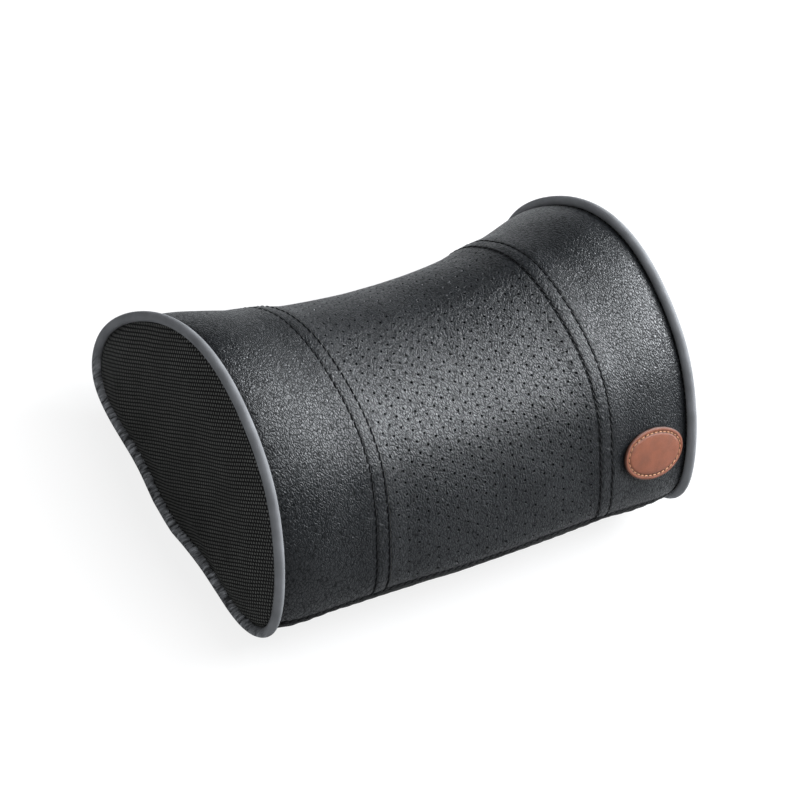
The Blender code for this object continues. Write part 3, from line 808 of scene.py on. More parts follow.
class GeometryTree(Nodes):
    """A Geometry Nodes tree with named inputs."""

    def __init__(self, name, inputs):
        super().__init__(bpy.data.node_groups.new(name, "GeometryNodeTree"))
        interface = self.tree.interface
        interface.new_socket("Geometry", in_out="INPUT", socket_type="NodeSocketGeometry")
        for label, (kind, value) in inputs.items():
            interface.new_socket(label, in_out="INPUT", socket_type=f"NodeSocket{kind}").default_value = value
        interface.new_socket("Geometry", in_out="OUTPUT", socket_type="NodeSocketGeometry")
        self.source = self.tree.nodes.new("NodeGroupInput")
        self.sink = self.tree.nodes.new("NodeGroupOutput")

    def input(self, label):
        return self.source.outputs[label]

    def geo(self, kind, values=(), **options):
        """The first output of a new node of Geometry Nodes."""
        return self.out(f"GeometryNode{kind}", values, **options)

    def attribute(self, name, kind):
        return self.geo("InputNamedAttribute", {"Name": name}, data_type=kind)

    def spaced_curve(self, step, kind, label, value):
        """The path as a curve with points a step apart, and a value that is read on it and kept."""
        curve = self.geo("MeshToCurve", {0: self.input("Geometry")})
        spaced = self.geo("ResampleCurve", {"Curve": curve, "Length": self.input(step)}, mode="LENGTH")
        captured = self.node("GeometryNodeCaptureAttribute", {"Geometry": spaced})
        captured.capture_items.new(kind, label)
        self.feed(captured.inputs[label], value)
        return captured.outputs[0], captured.outputs[label]

    def end(self, geometry, merge=0.0):
        """Realises the instances, merges them or else sets the material, and ends the tree."""
        real = self.geo("RealizeInstances", {0: geometry})
        if merge:
            real = self.geo("MergeByDistance", {"Geometry": real, "Distance": merge})
        else:
            real = self.geo("SetMaterial", {"Geometry": real, "Material": self.input("Material")})
        self.feed(self.sink.inputs[0], real)

    def run(self, obj, name):
        """Puts the tree on the object, and returns the plain object that it makes."""
        modifier = obj.modifiers.new(name, "NODES")
        modifier.node_group = self.tree
        graph = bpy.context.evaluated_depsgraph_get()
        mesh = bpy.data.meshes.new_from_object(obj.evaluated_get(graph), depsgraph=graph)
        mesh.name = name
        obj.modifiers.remove(modifier)
        bpy.data.objects.remove(obj)
        return add_object(name, mesh)


def perforated_tile(settings):
    """One tile of the perforated leathercloth, flat, with a hole in its middle."""
    width, height = settings.column_pitch, settings.row_pitch
    mid = TILE_CELLS // 2
    low, high = mid - 1, mid + 1
    build = bmesh.new()
    points = {}
    for i in range(TILE_CELLS + 1):
        for j in range(TILE_CELLS + 1):
            if (i, j) != (mid, mid):
                place = ((i / TILE_CELLS - 0.5) * width, (j / TILE_CELLS - 0.5) * height, 0)
                points[i, j] = build.verts.new(place)
    for i in range(TILE_CELLS):
        for j in range(TILE_CELLS):
            if not (i in (low, mid) and j in (low, mid)):
                build.faces.new([points[i, j], points[i + 1, j], points[i + 1, j + 1], points[i, j + 1]])
    upper, lower = [(high, mid), (high, high), (mid, high), (low, high)], [(low, mid), (low, low), (mid, low)]
    around = [*upper, *lower, (high, low)]
    outer = [points[at] for at in around]
    for scale, depth, slot in ((1.15, 0.0, 0), (1.0, -HOLE_ROUNDING, 1), (0.96, -settings.hole_depth, 1)):
        ring = []
        for k in range(len(around)):
            turn = 2 * math.pi * k / len(around)
            radius = settings.hole_radius * scale
            ring.append(build.verts.new((radius * math.cos(turn), radius * math.sin(turn), depth)))
        for k in range(len(around)):
            after = (k + 1) % len(around)
            build.faces.new([outer[k], outer[after], ring[after], ring[k]]).material_index = slot
        outer = ring
    build.faces.new(outer).material_index = 1
    bmesh.ops.recalc_face_normals(build, faces=build.faces)
    mesh = bpy.data.meshes.new("perforated_tile")
    build.to_mesh(mesh)
    build.free()
    return add_object("perforated_tile", mesh)


def tiling_tree(settings, columns, rows):
    """Repeats a tile over a flat sheet, every second column half a tile higher."""
    tree = GeometryTree("perforated sheet", {
        "Column pitch": ("Float", settings.column_pitch),
        "Row pitch": ("Float", settings.row_pitch),
        "Columns": ("Int", columns),
        "Rows": ("Int", rows),
    })
    wide = tree.times(tree.minus(tree.input("Columns"), 1), tree.input("Column pitch"))
    tall = tree.times(tree.minus(tree.input("Rows"), 1), tree.input("Row pitch"))
    counts = {"Vertices X": tree.input("Columns"), "Vertices Y": tree.input("Rows")}
    grid = tree.geo("MeshGrid", {"Size X": wide, "Size Y": tall, **counts})
    x = tree.out("ShaderNodeSeparateXYZ", {0: tree.geo("InputPosition")})
    odd = tree.math("FLOORED_MODULO", tree.math("ROUND", tree.over(x, tree.input("Column pitch"))), 2.0)
    shift = tree.times(odd, tree.times(tree.input("Row pitch"), 0.5))
    offset = tree.out("ShaderNodeCombineXYZ", {1: shift})
    points = tree.geo("SetPosition", {"Geometry": grid, "Offset": offset})
    tree.end(tree.geo("InstanceOnPoints", {"Points": points, "Instance": tree.input("Geometry")}), TILE_MERGE)
    return tree


def stitch_tree(name, pitch, length, thickness, slant, material):
    """Lays one stitch a pitch along a path, each turned this many degrees off it."""
    tree = GeometryTree(name, {
        "Pitch": ("Float", pitch),
        "Length": ("Float", length),
        "Thickness": ("Float", thickness),
        "Slant": ("Float", math.radians(slant)),
        "Material": ("Material", material),
    })
    curve, tangent = tree.spaced_curve("Pitch", "VECTOR", "Tangent", tree.geo("InputTangent"))
    points = tree.geo("CurveToPoints", {"Curve": curve}, mode="EVALUATED")
    along = tree.out("FunctionNodeAlignRotationToVector", {"Vector": tangent}, axis="X")
    values = {"Rotation": along, "Vector": tree.attribute("up", "FLOAT_VECTOR")}
    upright = tree.out("FunctionNodeAlignRotationToVector", values, axis="Z", pivot_axis="X")
    slanted = tree.out("ShaderNodeCombineXYZ", {2: tree.input("Slant")})
    spin = tree.out("FunctionNodeEulerToRotation", {0: slanted})
    values = {"Rotation": upright, "Rotate By": spin}
    turned = tree.out("FunctionNodeRotateRotation", values, rotation_space="LOCAL")
    ball = tree.geo("MeshUVSphere", {"Segments": 10, "Rings": 8, "Radius": 0.5})
    sizes = enumerate(("Length", "Thickness", "Thickness"))
    size = tree.out("ShaderNodeCombineXYZ", {axis: tree.input(label) for axis, label in sizes})
    stitch = tree.geo("SetShadeSmooth", {0: tree.geo("Transform", {"Geometry": ball, "Scale": size})})
    tree.end(tree.geo("InstanceOnPoints", {"Points": points, "Instance": stitch, "Rotation": turned}))
    return tree


def piping_tree(settings, material):
    """A cord in a folded strip: a round bar along the path, ruffled on its upper side where gathered."""
    tree = GeometryTree("piping", {
        "Radius": ("Float", PIPE_RADIUS),
        "Step": ("Float", PIPE_STEP),
        "Ruffle depth": ("Float", settings.ruffle_depth),
        "Ruffle spacing": ("Float", settings.ruffle_spacing),
        "Material": ("Material", material),
    })
    length = tree.node("GeometryNodeSplineParameter").outputs["Length"]
    curve, along = tree.spaced_curve("Step", "FLOAT", "Along", length)
    ring = tree.geo("CurvePrimitiveCircle", {"Resolution": 20, "Radius": tree.input("Radius")}, mode="RADIUS")
    bar = tree.geo("CurveToMesh", {"Curve": curve, "Profile Curve": ring})
    values = {"Vector": tree.geo("InputPosition"), "Scale": 160.0, "Detail": 1.0}
    patches = tree.out("ShaderNodeTexNoise", values)
    folds = tree.plus(tree.over(along, tree.input("Ruffle spacing")), tree.times(patches, 1.6))
    ruffle = tree.out("ShaderNodeTexNoise", {"W": folds, "Scale": 1.0, "Detail": 2.0}, noise_dimensions="1D")
    crease = tree.math("ABSOLUTE", tree.minus(ruffle, 0.5))
    fold = tree.minus(tree.math("MINIMUM", crease, 0.16), 0.07)
    normal = tree.geo("InputNormal")
    facing = tree.node("ShaderNodeSeparateXYZ", {"Vector": normal}).outputs[2]
    upper = tree.math("MAXIMUM", tree.times(tree.plus(facing, 0.35), 1.2), 0.0)
    depth = tree.times(tree.times(fold, tree.attribute("gather", "FLOAT")), tree.input("Ruffle depth"))
    depth = tree.times(depth, tree.math("MINIMUM", upper, 1.0))
    offset = tree.out("ShaderNodeVectorMath", {0: normal, "Scale": depth}, operation="SCALE")
    ruffled = tree.geo("SetPosition", {"Geometry": bar, "Offset": offset})
    tree.end(tree.geo("SetShadeSmooth", {0: ruffled}))
    return tree


def path_object(name, points, attribute, values, closed=False):
    """A line of points as a mesh of edges, with an attribute of one vector or number for each point."""
    mesh = bpy.data.meshes.new(name)
    edges = [(k, k + 1) for k in range(len(points) - 1)] + ([(len(points) - 1, 0)] if closed else [])
    mesh.from_pydata([tuple(map(float, p)) for p in points], edges, [])
    kind, key = ("FLOAT_VECTOR", "vector") if values.ndim == 2 else ("FLOAT", "value")
    made = mesh.attributes.new(attribute, kind, "POINT")
    made.data.foreach_set(key, np.asarray(values, np.float32).ravel())
    return add_object(name, mesh)


def length_setting(name, description, default):
    return FloatProperty(name=name, description=description, default=default, unit="LENGTH", precision=5)


def colour_setting(name, description, default):
    limits = {"subtype": "COLOR", "min": 0, "max": 1}
    return FloatVectorProperty(name=name, description=description, default=default, **limits)


def power_setting(name, description, default):
    return FloatProperty(name=name, description=description, default=default, unit="POWER")


class CoverSettings(bpy.types.PropertyGroup):
    """The cover's shape and its seams"""

    slack: length_setting("Slack", "How far the cover starts inside its shape", 0.0009)
    pressure: FloatProperty(name="Pressure", description="Push of the foam on the cover", default=4.0)
    frames: IntProperty(name="Frames", description="Steps of the cloth simulation", default=20)
    groove: length_setting("Groove", "How deep the stitch rows pull the leathercloth in", 0.0005)
    pucker: length_setting("Pucker", "Height of the puckers beside a stitch row", 0.00012)
    end_gather: length_setting("End gathers", "Height of the gathers at the end seams", 0.0002)
    unevenness: length_setting("Unevenness", "Height of the soft hollows of the foam", 0.0005)
    pitch: length_setting("Stitch pitch", "Length of one stitch with its gap", 0.0050)
    stitch_length: length_setting("Stitch length", "Length of one stitch", 0.0047)


class PerforationSettings(bpy.types.PropertyGroup):
    """The holes of the middle panel"""

    column_pitch: length_setting("Column pitch", "Distance between columns of holes", 0.00693)
    row_pitch: length_setting("Row pitch", "Distance between holes in a column", 0.00674)
    hole_radius: length_setting("Hole radius", "Radius of a hole", 0.00080)
    hole_depth: length_setting("Hole depth", "Depth of a hole", 0.0010)
    first_row: length_setting("First row", "Distance of the first holes from the lower seam", 0.0072)


class FinishSettings(bpy.types.PropertyGroup):
    """Colours, grain and ruffles"""

    leather_colour: colour_setting("Leathercloth", "Colour of the leathercloth", (0.0076, 0.0088, 0.0104))
    leather_roughness: FloatProperty(
        name="Leathercloth roughness", description="Roughness of the grain's tops", default=0.30
    )
    grain: length_setting("Grain", "Size of one pebble of the grain", 0.0019)
    grain_strength: FloatProperty(name="Grain strength", description="Strength of the grain", default=1.0)
    grain_depth: length_setting("Grain depth", "Depth of the grain", 0.00026)
    mesh_colour: colour_setting("Mesh cloth", "Colour of the mesh cloth's bars", (0.135, 0.135, 0.126))
    mesh_row: length_setting("Mesh row", "Distance between rows of the mesh", 0.0021)
    mesh_bar: length_setting("Mesh bar", "Distance between bars in a row", 0.0018)
    mesh_turn: FloatProperty(
        name="Mesh turn", description="Turn of the rows on the end", default=math.radians(49), subtype="ANGLE"
    )
    piping_colour: colour_setting("Piping", "Colour of the piping", (0.185, 0.188, 0.196))
    ruffle_depth: length_setting("Ruffle depth", "Depth of the ruffles of the gathered piping", 0.0095)
    ruffle_spacing: length_setting("Ruffle spacing", "Distance between ruffles", 0.0021)
    badge_colour: colour_setting("Badge", "Colour of the badge", (0.235, 0.069, 0.031))
    badge_thread: colour_setting("Badge thread", "Colour of the badge's thread", (0.70, 0.36, 0.20))
    black_thread: colour_setting("Black thread", "Colour of the stitching", (0.006, 0.006, 0.007))


class StageSettings(bpy.types.PropertyGroup):
    """The lights"""

    side_power: power_setting("Side light", "Power of the softbox beside it", 64.0)
    top_power: power_setting("Top light", "Power of the softbox over it", 39.5)
    fill_power: power_setting("Fill light", "Power of the fill light", 9.0)
    world: FloatProperty(name="World", description="Strength of the light from all round", default=0.06)


def covers(context):
    return context.scene.neck_pillow_cover


def perforations(context):
    return context.scene.neck_pillow_perforations


def finishes(context):
    return context.scene.neck_pillow_finish


def lights(context):
    return context.scene.neck_pillow_stage


def store(obj, node):
    """Makes the finished object ride on the pillow, in place of the CAD node that it stands for."""
    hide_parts(node)
    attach(obj, "root")


def leather_of(context):
    """The leathercloth, made once for its three panels."""
    return bpy.data.materials.get("black leathercloth") or leathercloth_material(finishes(context))


def placed(name, data, place, along, back):
    """An object at a place, with its Z along back and its X along the other way, as far as that is across."""
    x = (along - back * along.dot(back)).normalized()
    obj = add_object(name, data)
    obj.matrix_world = Matrix.Translation(place) @ Matrix((x, back.cross(x), back)).transposed().to_4x4()
    return obj


class PILLOW_OT_stage(bpy.types.Operator):
    """Camera, lights and floor"""

    bl_idname = "neck_pillow.stage"
    bl_label = "Stage"

    def execute(self, context):
        context.scene.view_settings.view_transform = "Standard"
        self.camera(context.scene)
        for name, way, along, size in LIGHTS:
            lamp = bpy.data.lights.new(name, "AREA")
            lamp.energy, lamp.shape = getattr(lights(context), f"{name}_power"), "RECTANGLE"
            lamp.color = LIGHT_COLOUR
            lamp.size, lamp.size_y = size
            back = Vector(way).normalized()
            placed(name, lamp, Vector(LIT_POINT) + back * LIGHT_DISTANCE, Vector(along), back)
        self.world(context.scene, lights(context).world)
        self.floor()
        return {"FINISHED"}

    def camera(self, scene):
        camera = add_object("camera", bpy.data.cameras.new("camera"))
        right, up = Vector(CAMERA_RIGHT).normalized(), Vector(CAMERA_UP)
        up = (up - right * up.dot(right)).normalized()
        turn = Matrix((right, up, right.cross(up))).transposed()
        camera.matrix_world = Matrix.Translation(CAMERA_PLACE) @ turn.to_4x4()
        camera.data.lens, camera.data.sensor_width = CAMERA_LENS, CAMERA_SENSOR
        camera.data.clip_start, camera.data.clip_end = CAMERA_CLIP
        scene.camera = camera

    def world(self, scene, strength):
        """White to the camera, and a soft light from all round to the rest."""
        scene.world = bpy.data.worlds.new("pale studio")
        scene.world.use_nodes = True
        studio = Nodes(scene.world.node_tree)
        path = studio.node("ShaderNodeLightPath")
        seen = studio.math("MAXIMUM", path.outputs["Is Camera Ray"], path.outputs["Is Transmission Ray"])
        background = studio.tree.nodes["Background"]
        values = {"Value": seen, "To Min": strength, "To Max": 1.0}
        studio.feed(background.inputs["Strength"], studio.out("ShaderNodeMapRange", values))
        background.inputs["Color"].default_value = (1, 1, 1, 1)

    def floor(self):
        """A pale floor that keeps the shadow, and fades to white in the camera's view."""
        corners = [(x * FLOOR_HALF, y * FLOOR_HALF, 0) for x, y in ((-1, -1), (1, -1), (1, 1), (-1, 1))]
        floor = new_mesh_object("floor", corners, [(0, 1, 2, 3)], smooth=False)
        shader = Shader("pale floor", (0.42, 0.42, 0.42), 0.8)
        white = shader.out("ShaderNodeEmission", {"Color": (1, 1, 1, 1), "Strength": 1.25})
        path = shader.node("ShaderNodeLightPath")
        away = shader.node("ShaderNodeTexCoord").outputs["Object"]
        length = shader.node("ShaderNodeVectorMath", {0: away}, operation="LENGTH").outputs["Value"]
        far = shader.out("ShaderNodeMapRange", {"Value": length, "From Min": 0.16, "From Max": 0.40})
        grey = shader.out("ShaderNodeMapRange", {"Value": far, "To Min": 0.66, "To Max": 1.0})
        share = shader.times(path.outputs["Is Camera Ray"], grey)
        mixed = shader.out("ShaderNodeMixShader", {0: share, 1: shader.principled.outputs[0], 2: white})
        shader.feed(shader.tree.nodes["Material Output"].inputs["Surface"], mixed)
        floor.data.materials.append(shader.material)


class PILLOW_OT_swell(bpy.types.Operator):
    """Swells the cover between its seams with Cloth"""

    bl_idname = "neck_pillow.swell"
    bl_label = "Swell the cover"

    def execute(self, context):
        COVER.swell(swollen_heights(covers(context)))
        return {"FINISHED"}


class PILLOW_OT_side_panels(bpy.types.Operator):
    """Plain leathercloth at each end of the front, its edge a little above the sunk middle panel beside it"""

    bl_idname = "neck_pillow.side_panels"
    bl_label = "Side panels"

    def execute(self, context):
        ends = (PANEL_SEAM_X + GAP / 2, SEAM_X)
        places = uneven_places((PANEL_SEAM_X, INNER_ROW_X, OUTER_ROW_X), ends)
        shares = np.linspace(0, 1, SIDE_STEPS_ROUND)
        shares = shares - SIDE_CROWDING * np.sin(2 * math.pi * shares) / (2 * math.pi)
        for name, end in (("side_panel_left_leather", -1), ("side_panel_right_leather", 1)):
            x_grid = np.repeat((end * places[::end])[:, None], len(shares), axis=1)
            distance = shares[None, :] * (COVER.front(x_grid) - GAP) + GAP / 2
            heights = relief(x_grid, distance, covers(context))
            outer, _ = COVER.at(x_grid, distance, heights)
            inner, _ = COVER.at(x_grid, distance, heights - CLOTH_SHARE * LEATHER)
            obj = sheet_object(name, outer, inner)
            add_uv(obj, np.tile(np.column_stack([x_grid.ravel(), distance.ravel()]), (2, 1)))
            obj.data.materials.append(leather_of(context))
            store(obj, name.removesuffix("_leather"))
        return {"FINISHED"}


class PILLOW_OT_middle_panel(bpy.types.Operator):
    """Perforated leathercloth over the middle, tiled flat and laid over the pillow"""

    bl_idname = "neck_pillow.middle_panel"
    bl_label = "Middle panel"

    def execute(self, context):
        settings = perforations(context)
        half = PANEL_SEAM_X - GAP / 2
        longest = float(COVER.fronts[np.abs(COVER.xs) < half].max())
        columns = 2 * math.ceil(half / settings.column_pitch) + 3
        rows = math.ceil(longest / settings.row_pitch) + 4
        sheet = tiling_tree(settings, columns, rows).run(perforated_tile(settings), "middle_panel_leather")
        lowest = settings.first_row - 2 * settings.row_pitch
        self.trim(sheet, half, longest, lowest + (rows - 1) * settings.row_pitch / 2)
        self.lay(sheet, covers(context), SEAM_MARGIN * settings.first_row, longest)
        sheet.data.materials.clear()
        sheet.data.materials.append(leather_of(context))
        sheet.data.materials.append(hole_material())
        sheet.data.shade_smooth()
        store(sheet, "middle_panel")
        return {"FINISHED"}

    def trim(self, sheet, half, longest, shift):
        """Cuts the flat sheet to the panel's width and to its longest girth."""
        build = bmesh.new()
        build.from_mesh(sheet.data)
        bmesh.ops.translate(build, verts=build.verts, vec=(0, shift, 0))
        for place, way in (
            ((half, 0, 0), (1, 0, 0)), ((-half, 0, 0), (-1, 0, 0)),
            ((0, 0, 0), (0, -1, 0)), ((0, longest, 0), (0, 1, 0)),
        ):
            parts = build.verts[:] + build.edges[:] + build.faces[:]
            bmesh.ops.bisect_plane(build, geom=parts, plane_co=place, plane_no=way, clear_outer=True)
        build.to_mesh(sheet.data)
        build.free()

    def lay(self, sheet, settings, margin, longest):
        """Moves each point of the flat sheet to its place on the cover, and fills holes too near a seam."""
        mesh = sheet.data
        flat = np.empty(len(mesh.vertices) * 3, np.float32)
        mesh.vertices.foreach_get("co", flat)
        flat = flat.reshape(-1, 3).astype(float)
        front = COVER.front(flat[:, 0])
        near_top = smoothstep(FITTED_SHARE * longest, longest, flat[:, 1])
        distance = np.clip(flat[:, 1] - near_top * (longest - front), GAP / 2, front - GAP / 2)
        plain = (distance < margin) | (front - distance < margin)
        depth = np.where(plain, 0, flat[:, 2])
        heights = depth + relief(flat[:, 0], distance, settings) - MIDDLE_SINK
        places, _ = COVER.at(flat[:, 0], distance, heights)
        mesh.vertices.foreach_set("co", places.astype(np.float32).ravel())
        for face in mesh.polygons:
            if face.material_index and plain[list(face.vertices)].any():
                face.material_index = 0
        mesh.update()
        add_uv(sheet, flat[:, :2])


class PILLOW_OT_back_panel(bpy.types.Operator):
    """Black cloth down the back"""

    bl_idname = "neck_pillow.back_panel"
    bl_label = "Back panel"

    def execute(self, context):
        x_grid = np.repeat(np.linspace(-SEAM_X, SEAM_X, BACK_ROWS)[:, None], BACK_COLUMNS, axis=1)
        shares = np.linspace(0, 1, BACK_COLUMNS)[None, :]
        front, whole = COVER.front(x_grid), COVER.whole(x_grid)
        distance = front + GAP / 2 + shares * (whole - front - GAP)
        from_edge = np.minimum(distance - front, whole - distance)
        from_end = SEAM_X - np.abs(x_grid)
        heights = BACK_WAVE * noise_2d(x_grid, distance, 41, BACK_WAVE_LENGTH)
        for height, pitch, reach, place, away in (
            (0.0005, 0.009, 0.006, x_grid, from_edge),
            (0.0006, 0.008, 0.009, distance, from_end),
        ):
            heights += height * np.sin(2 * math.pi * place / pitch) * np.exp(-away / reach)
        heights *= smoothstep(*BACK_HOLD, np.minimum(from_edge, from_end))
        rise = COVER.at(x_grid, distance)[0][..., 2] - MID_RISE
        heights *= smoothstep(*BACK_LIFT, rise)
        outer, _ = COVER.at(x_grid, distance, heights)
        inner, _ = COVER.at(x_grid, distance, heights - CLOTH_SHARE * BACK_CLOTH)
        outer[..., 2] = np.maximum(outer[..., 2], MID_RISE)
        obj = sheet_object("back_panel_cloth", outer, inner)
        obj.data.materials.append(back_cloth_material())
        store(obj, "back_panel")
        return {"FINISHED"}


class PILLOW_OT_end_panels(bpy.types.Operator):
    """Mesh cloth inside the piping, pushed out by the foam"""

    bl_idname = "neck_pillow.end_panels"
    bl_label = "End panels"

    def execute(self, context):
        material = mesh_material(finishes(context))
        centre = section(SEAM_X).mean(axis=0) - (MIDDLE_Y, 0)
        shares = np.arange(END_STEPS_ROUND) / END_STEPS_ROUND
        edge = on_cover(SEAM_X, shares * girth(SEAM_X)[3]) - (MIDDLE_Y, 0)
        inward = centre - edge
        reach = np.linalg.norm(inward, axis=1)[:, None]
        rim = edge - inward / reach * END_TUCK
        for name, end in (("end_panel_left_mesh", -1), ("end_panel_right_mesh", 1)):
            rows = []
            for level in np.linspace(1, END_INNERMOST, END_LEVELS):
                flat = centre + (rim - centre) * level
                from_rim = (1 - level) * reach[:, 0]
                out = (END_DOME + END_SWELL) * smoothstep(0, END_SWELL_REACH, from_rim)
                out = out - END_SINK * (1 - smoothstep(0, END_SINK_REACH, from_rim))
                folds = END_FOLD * noise_2d(shares * END_FOLD_SPREAD, end, 61, 0.02)
                folds = folds * np.exp(-from_rim / END_FOLD_REACH)
                soft = END_WAVE * noise_2d(flat[:, 0], flat[:, 1], 62 + end, END_WAVE_LENGTH)
                out = out + (folds + soft) * smoothstep(0, END_EDGE, from_rim)
                rows.append(np.column_stack([end * (END_PANEL_X + MESH_CLOTH + out), flat]))
            outer = np.array(rows)
            inner = outer - (end * CLOTH_SHARE * MESH_CLOTH, 0, 0)
            obj = tube_object(name, np.concatenate([inner[::-1], outer]))
            obj.data.materials.append(material)
            store(obj, name.removesuffix("_mesh"))
        return {"FINISHED"}


class PILLOW_OT_piping(bpy.types.Operator):
    """Grey piping round each end, ruffled along the back"""

    bl_idname = "neck_pillow.piping"
    bl_label = "Piping"

    def execute(self, context):
        settings = finishes(context)
        material = piping_material(settings)
        _, _, front, whole = girth(SEAM_X)
        distances = np.linspace(0, whole, PIPE_POINTS, endpoint=False)
        forward = on_cover(SEAM_X, distances + PATH_STEP) - on_cover(SEAM_X, distances - PATH_STEP)
        outward = np.column_stack([-forward[:, 1], forward[:, 0]])
        outward /= np.linalg.norm(outward, axis=1)[:, None]
        middle = on_cover(SEAM_X, distances) + outward * PIPE_RADIUS - (MIDDLE_Y, 0)
        gather = smoothstep(*GATHER_RISE, distances - front) * smoothstep(*GATHER_FALL, whole - distances)
        wander = PIPE_WANDER * (noise_1d(distances, 71, PIPE_WANDER_LENGTH) - 1) * gather
        middle = middle + outward * wander[:, None]
        for name, end in (("piping_left_strip", -1), ("piping_right_strip", 1)):
            points = np.column_stack([np.full(len(middle), end * HALF_LENGTH), middle])
            line = path_object(name + "_path", points, "gather", gather, closed=True)
            obj = piping_tree(settings, material).run(line, name)
            face_out(obj)
            store(obj, name.removesuffix("_strip"))
        return {"FINISHED"}


class PILLOW_OT_stitching(bpy.types.Operator):
    """Rows of stitches across the front and along the lower seam"""

    bl_idname = "neck_pillow.stitching"
    bl_label = "Stitching"

    def execute(self, context):
        settings = covers(context)
        material = thread_material("black thread", finishes(context).black_thread)
        for side, end in (("left", -1), ("right", 1)):
            for kind, x in (("inner", INNER_ROW_X), ("outer", OUTER_ROW_X)):
                distance = np.arange(ROW_END_LIFT, float(COVER.front(x)) - ROW_END_LIFT, PATH_STEP)
                x_places, slant = np.full(len(distance), end * x), end * STITCH_SLANT
                self.row(f"{kind}_stitching_{side}", x_places, distance, settings, material, slant)
        x_places = np.arange(-(SEAM_X - PIPE_RADIUS), SEAM_X - PIPE_RADIUS, PATH_STEP)
        distance = np.full(len(x_places), LOWER_ROW_LIFT)
        self.row("lower_seam_stitching", x_places, distance, settings, material, STITCH_SLANT)
        return {"FINISHED"}

    def row(self, name, x_places, distance, settings, material, slant):
        height = relief(x_places, distance, settings) + THREAD_LIFT * THREAD
        points, ups = COVER.at(x_places, distance, height)
        line = path_object(name + "_path", points, "up", ups)
        tree = stitch_tree(name, settings.pitch, settings.stitch_length, ROW_THREAD * THREAD, slant, material)
        store(tree.run(line, name + "_thread"), name)


class PILLOW_OT_badge(bpy.types.Operator):
    """Bare oval leather badge with its stitching"""

    bl_idname = "neck_pillow.badge"
    bl_label = "Badge"

    def loop(self, inset, height):
        """An oval this far inside the badge's edge and this high over the cover, with the ways up."""
        turn = 2 * math.pi * np.arange(BADGE_STEPS) / BADGE_STEPS
        x = BADGE_X + (BADGE_LENGTH / 2 - inset) * np.cos(turn)
        distance = BADGE_LIFT + (BADGE_WIDTH / 2 - inset) * np.sin(turn)
        return COVER.at(x, distance, height)

    def execute(self, context):
        settings = finishes(context)
        top, short = GAP + BADGE_THICKNESS, BADGE_WIDTH / 2
        innermost = short - BADGE_MIDDLE
        profile = [(BADGE_FOOT, GAP)]
        profile += [(inset, share * top) for inset, share in BADGE_SIDE]
        profile += [(inset, top + rise) for inset, rise in BADGE_EDGE]
        profile += [(BADGE_STITCH_INSET + off, top + rise) for off, rise in BADGE_GROOVE]
        puffed = np.linspace(BADGE_STITCH_INSET + BADGE_PUFF_START, innermost, BADGE_PUFF_RINGS)
        profile += [(inset, top + BADGE_PUFF) for inset in puffed]
        under = [(innermost, GAP), (BADGE_UNDER, GAP)]
        obj = tube_object("badge_leather", np.array([self.loop(*at)[0] for at in under + profile]))
        insets = [short, BADGE_UNDER] + [inset for inset, _ in profile]
        turns = np.tile(np.arange(BADGE_STEPS) / BADGE_STEPS, len(insets))
        add_uv(obj, np.column_stack([np.repeat(insets, BADGE_STEPS), turns]))
        obj.data.materials.append(badge_material(settings))
        store(obj, "badge")
        points, ups = self.loop(BADGE_STITCH_INSET, top - BADGE_THREAD_SINK)
        line = path_object("badge_stitching_path", points, "up", ups, closed=True)
        material = thread_material("tan thread", settings.badge_thread)
        tree = stitch_tree("badge_stitching", *BADGE_STITCH, BADGE_THREAD * THREAD, BADGE_SLANT, material)
        store(tree.run(line, "badge_stitching_thread"), "badge_stitching")
        return {"FINISHED"}


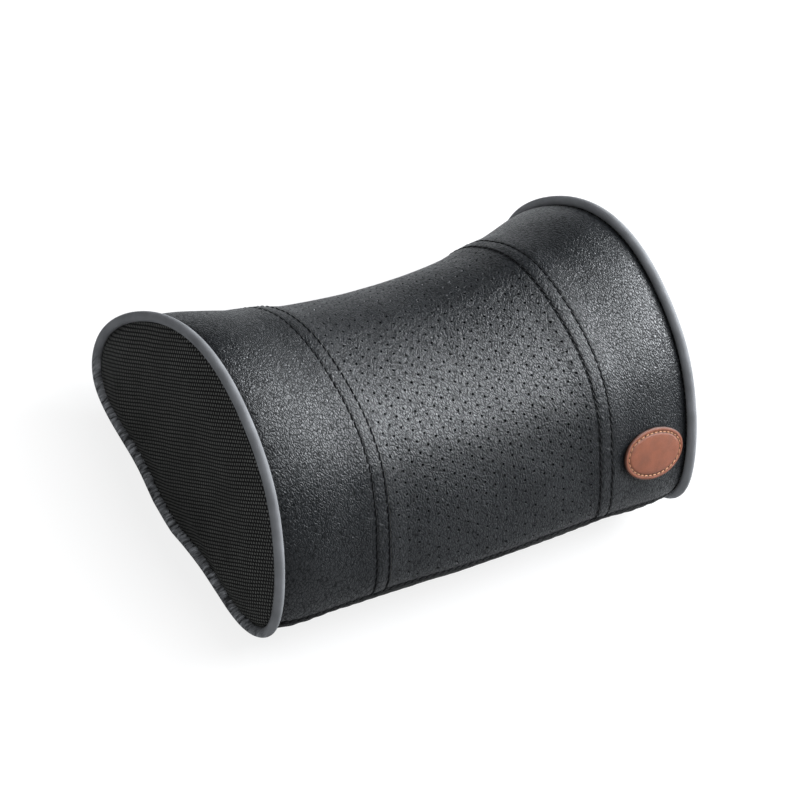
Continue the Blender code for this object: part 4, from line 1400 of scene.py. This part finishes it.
class PILLOW_OT_strap(bpy.types.Operator):
    """Elastic strap across the back, and the foam inside the cover"""

    bl_idname = "neck_pillow.strap"
    bl_label = "Strap and foam"

    def execute(self, context):
        end = HALF_LENGTH - PIPE_RADIUS - GAP
        turn = np.linspace(0, 2 * math.pi, STRAP_STEPS_ROUND, endpoint=False)
        c, s = np.cos(turn), np.sin(turn)
        flat_sides = np.abs(c) ** STRAP_SIDE_POWER * np.minimum(1, np.abs(c) / STRAP_SIDE_EASE)
        across = STRAP_Y - MIDDLE_Y + STRAP_WIDTH / 2 * np.copysign(flat_sides, c)
        up = STRAP_THICKNESS / 2 * (np.copysign(np.abs(s) ** STRAP_FACE_POWER, s) - 1)
        places = np.linspace(-end, end, STRAP_STEPS)
        tops = [cover_box(x)[2] - GAP for x in places]
        rings = [np.column_stack([np.full(len(turn), x), across, top + up]) for x, top in zip(places, tops)]
        obj = tube_object("headrest_strap_elastic", np.array(rings))
        obj.data.materials.append(elastic_material())
        store(obj, "headrest_strap")
        self.foam()
        return {"FINISHED"}

    def foam(self):
        """The foam block, a little inside the cover."""
        ends = SEAM_X - FOAM_INSET
        x_grid = np.repeat(np.linspace(-ends, ends, FOAM_ROWS)[:, None], FOAM_COLUMNS, axis=1)
        distance = np.arange(FOAM_COLUMNS)[None, :] / FOAM_COLUMNS * COVER.whole(x_grid)
        obj = tube_object("foam_block", COVER.at(x_grid, distance, -FOAM_INSET)[0])
        obj.data.materials.append(foam_material())
        store(obj, "foam_core")


class PILLOW_PT_panel(bpy.types.Panel):
    """Lists the settings and the pieces of the pillow"""

    bl_idname = "PILLOW_PT_panel"
    bl_label = "Neck pillow"
    bl_space_type = "VIEW_3D"
    bl_region_type = "UI"
    bl_category = "Neck pillow"

    def draw(self, context):
        for group in (covers(context), perforations(context), finishes(context), lights(context)):
            box = self.layout.box()
            for name in group.bl_rna.properties.keys():
                if name not in ("rna_type", "name"):
                    box.prop(group, name)
        for operator in OPERATORS:
            self.layout.operator(operator.bl_idname)


SETTINGS = {
    "neck_pillow_cover": CoverSettings,
    "neck_pillow_perforations": PerforationSettings,
    "neck_pillow_finish": FinishSettings,
    "neck_pillow_stage": StageSettings,
}
OPERATORS = (
    PILLOW_OT_stage, PILLOW_OT_swell, PILLOW_OT_side_panels, PILLOW_OT_middle_panel, PILLOW_OT_back_panel,
    PILLOW_OT_end_panels, PILLOW_OT_piping, PILLOW_OT_stitching, PILLOW_OT_badge, PILLOW_OT_strap,
)


def register():
    for cls in (*SETTINGS.values(), *OPERATORS, PILLOW_PT_panel):
        bpy.utils.register_class(cls)
    for name, cls in SETTINGS.items():
        setattr(bpy.types.Scene, name, PointerProperty(type=cls))


def unregister():
    for name in SETTINGS:
        delattr(bpy.types.Scene, name)
    for cls in reversed((*SETTINGS.values(), *OPERATORS, PILLOW_PT_panel)):
        bpy.utils.unregister_class(cls)


def main():
    register()
    for operator in OPERATORS:
        family, name = operator.bl_idname.split(".")
        getattr(getattr(bpy.ops, family), name)()


COVER = Cover()

if __name__ == "__main__":
    main()
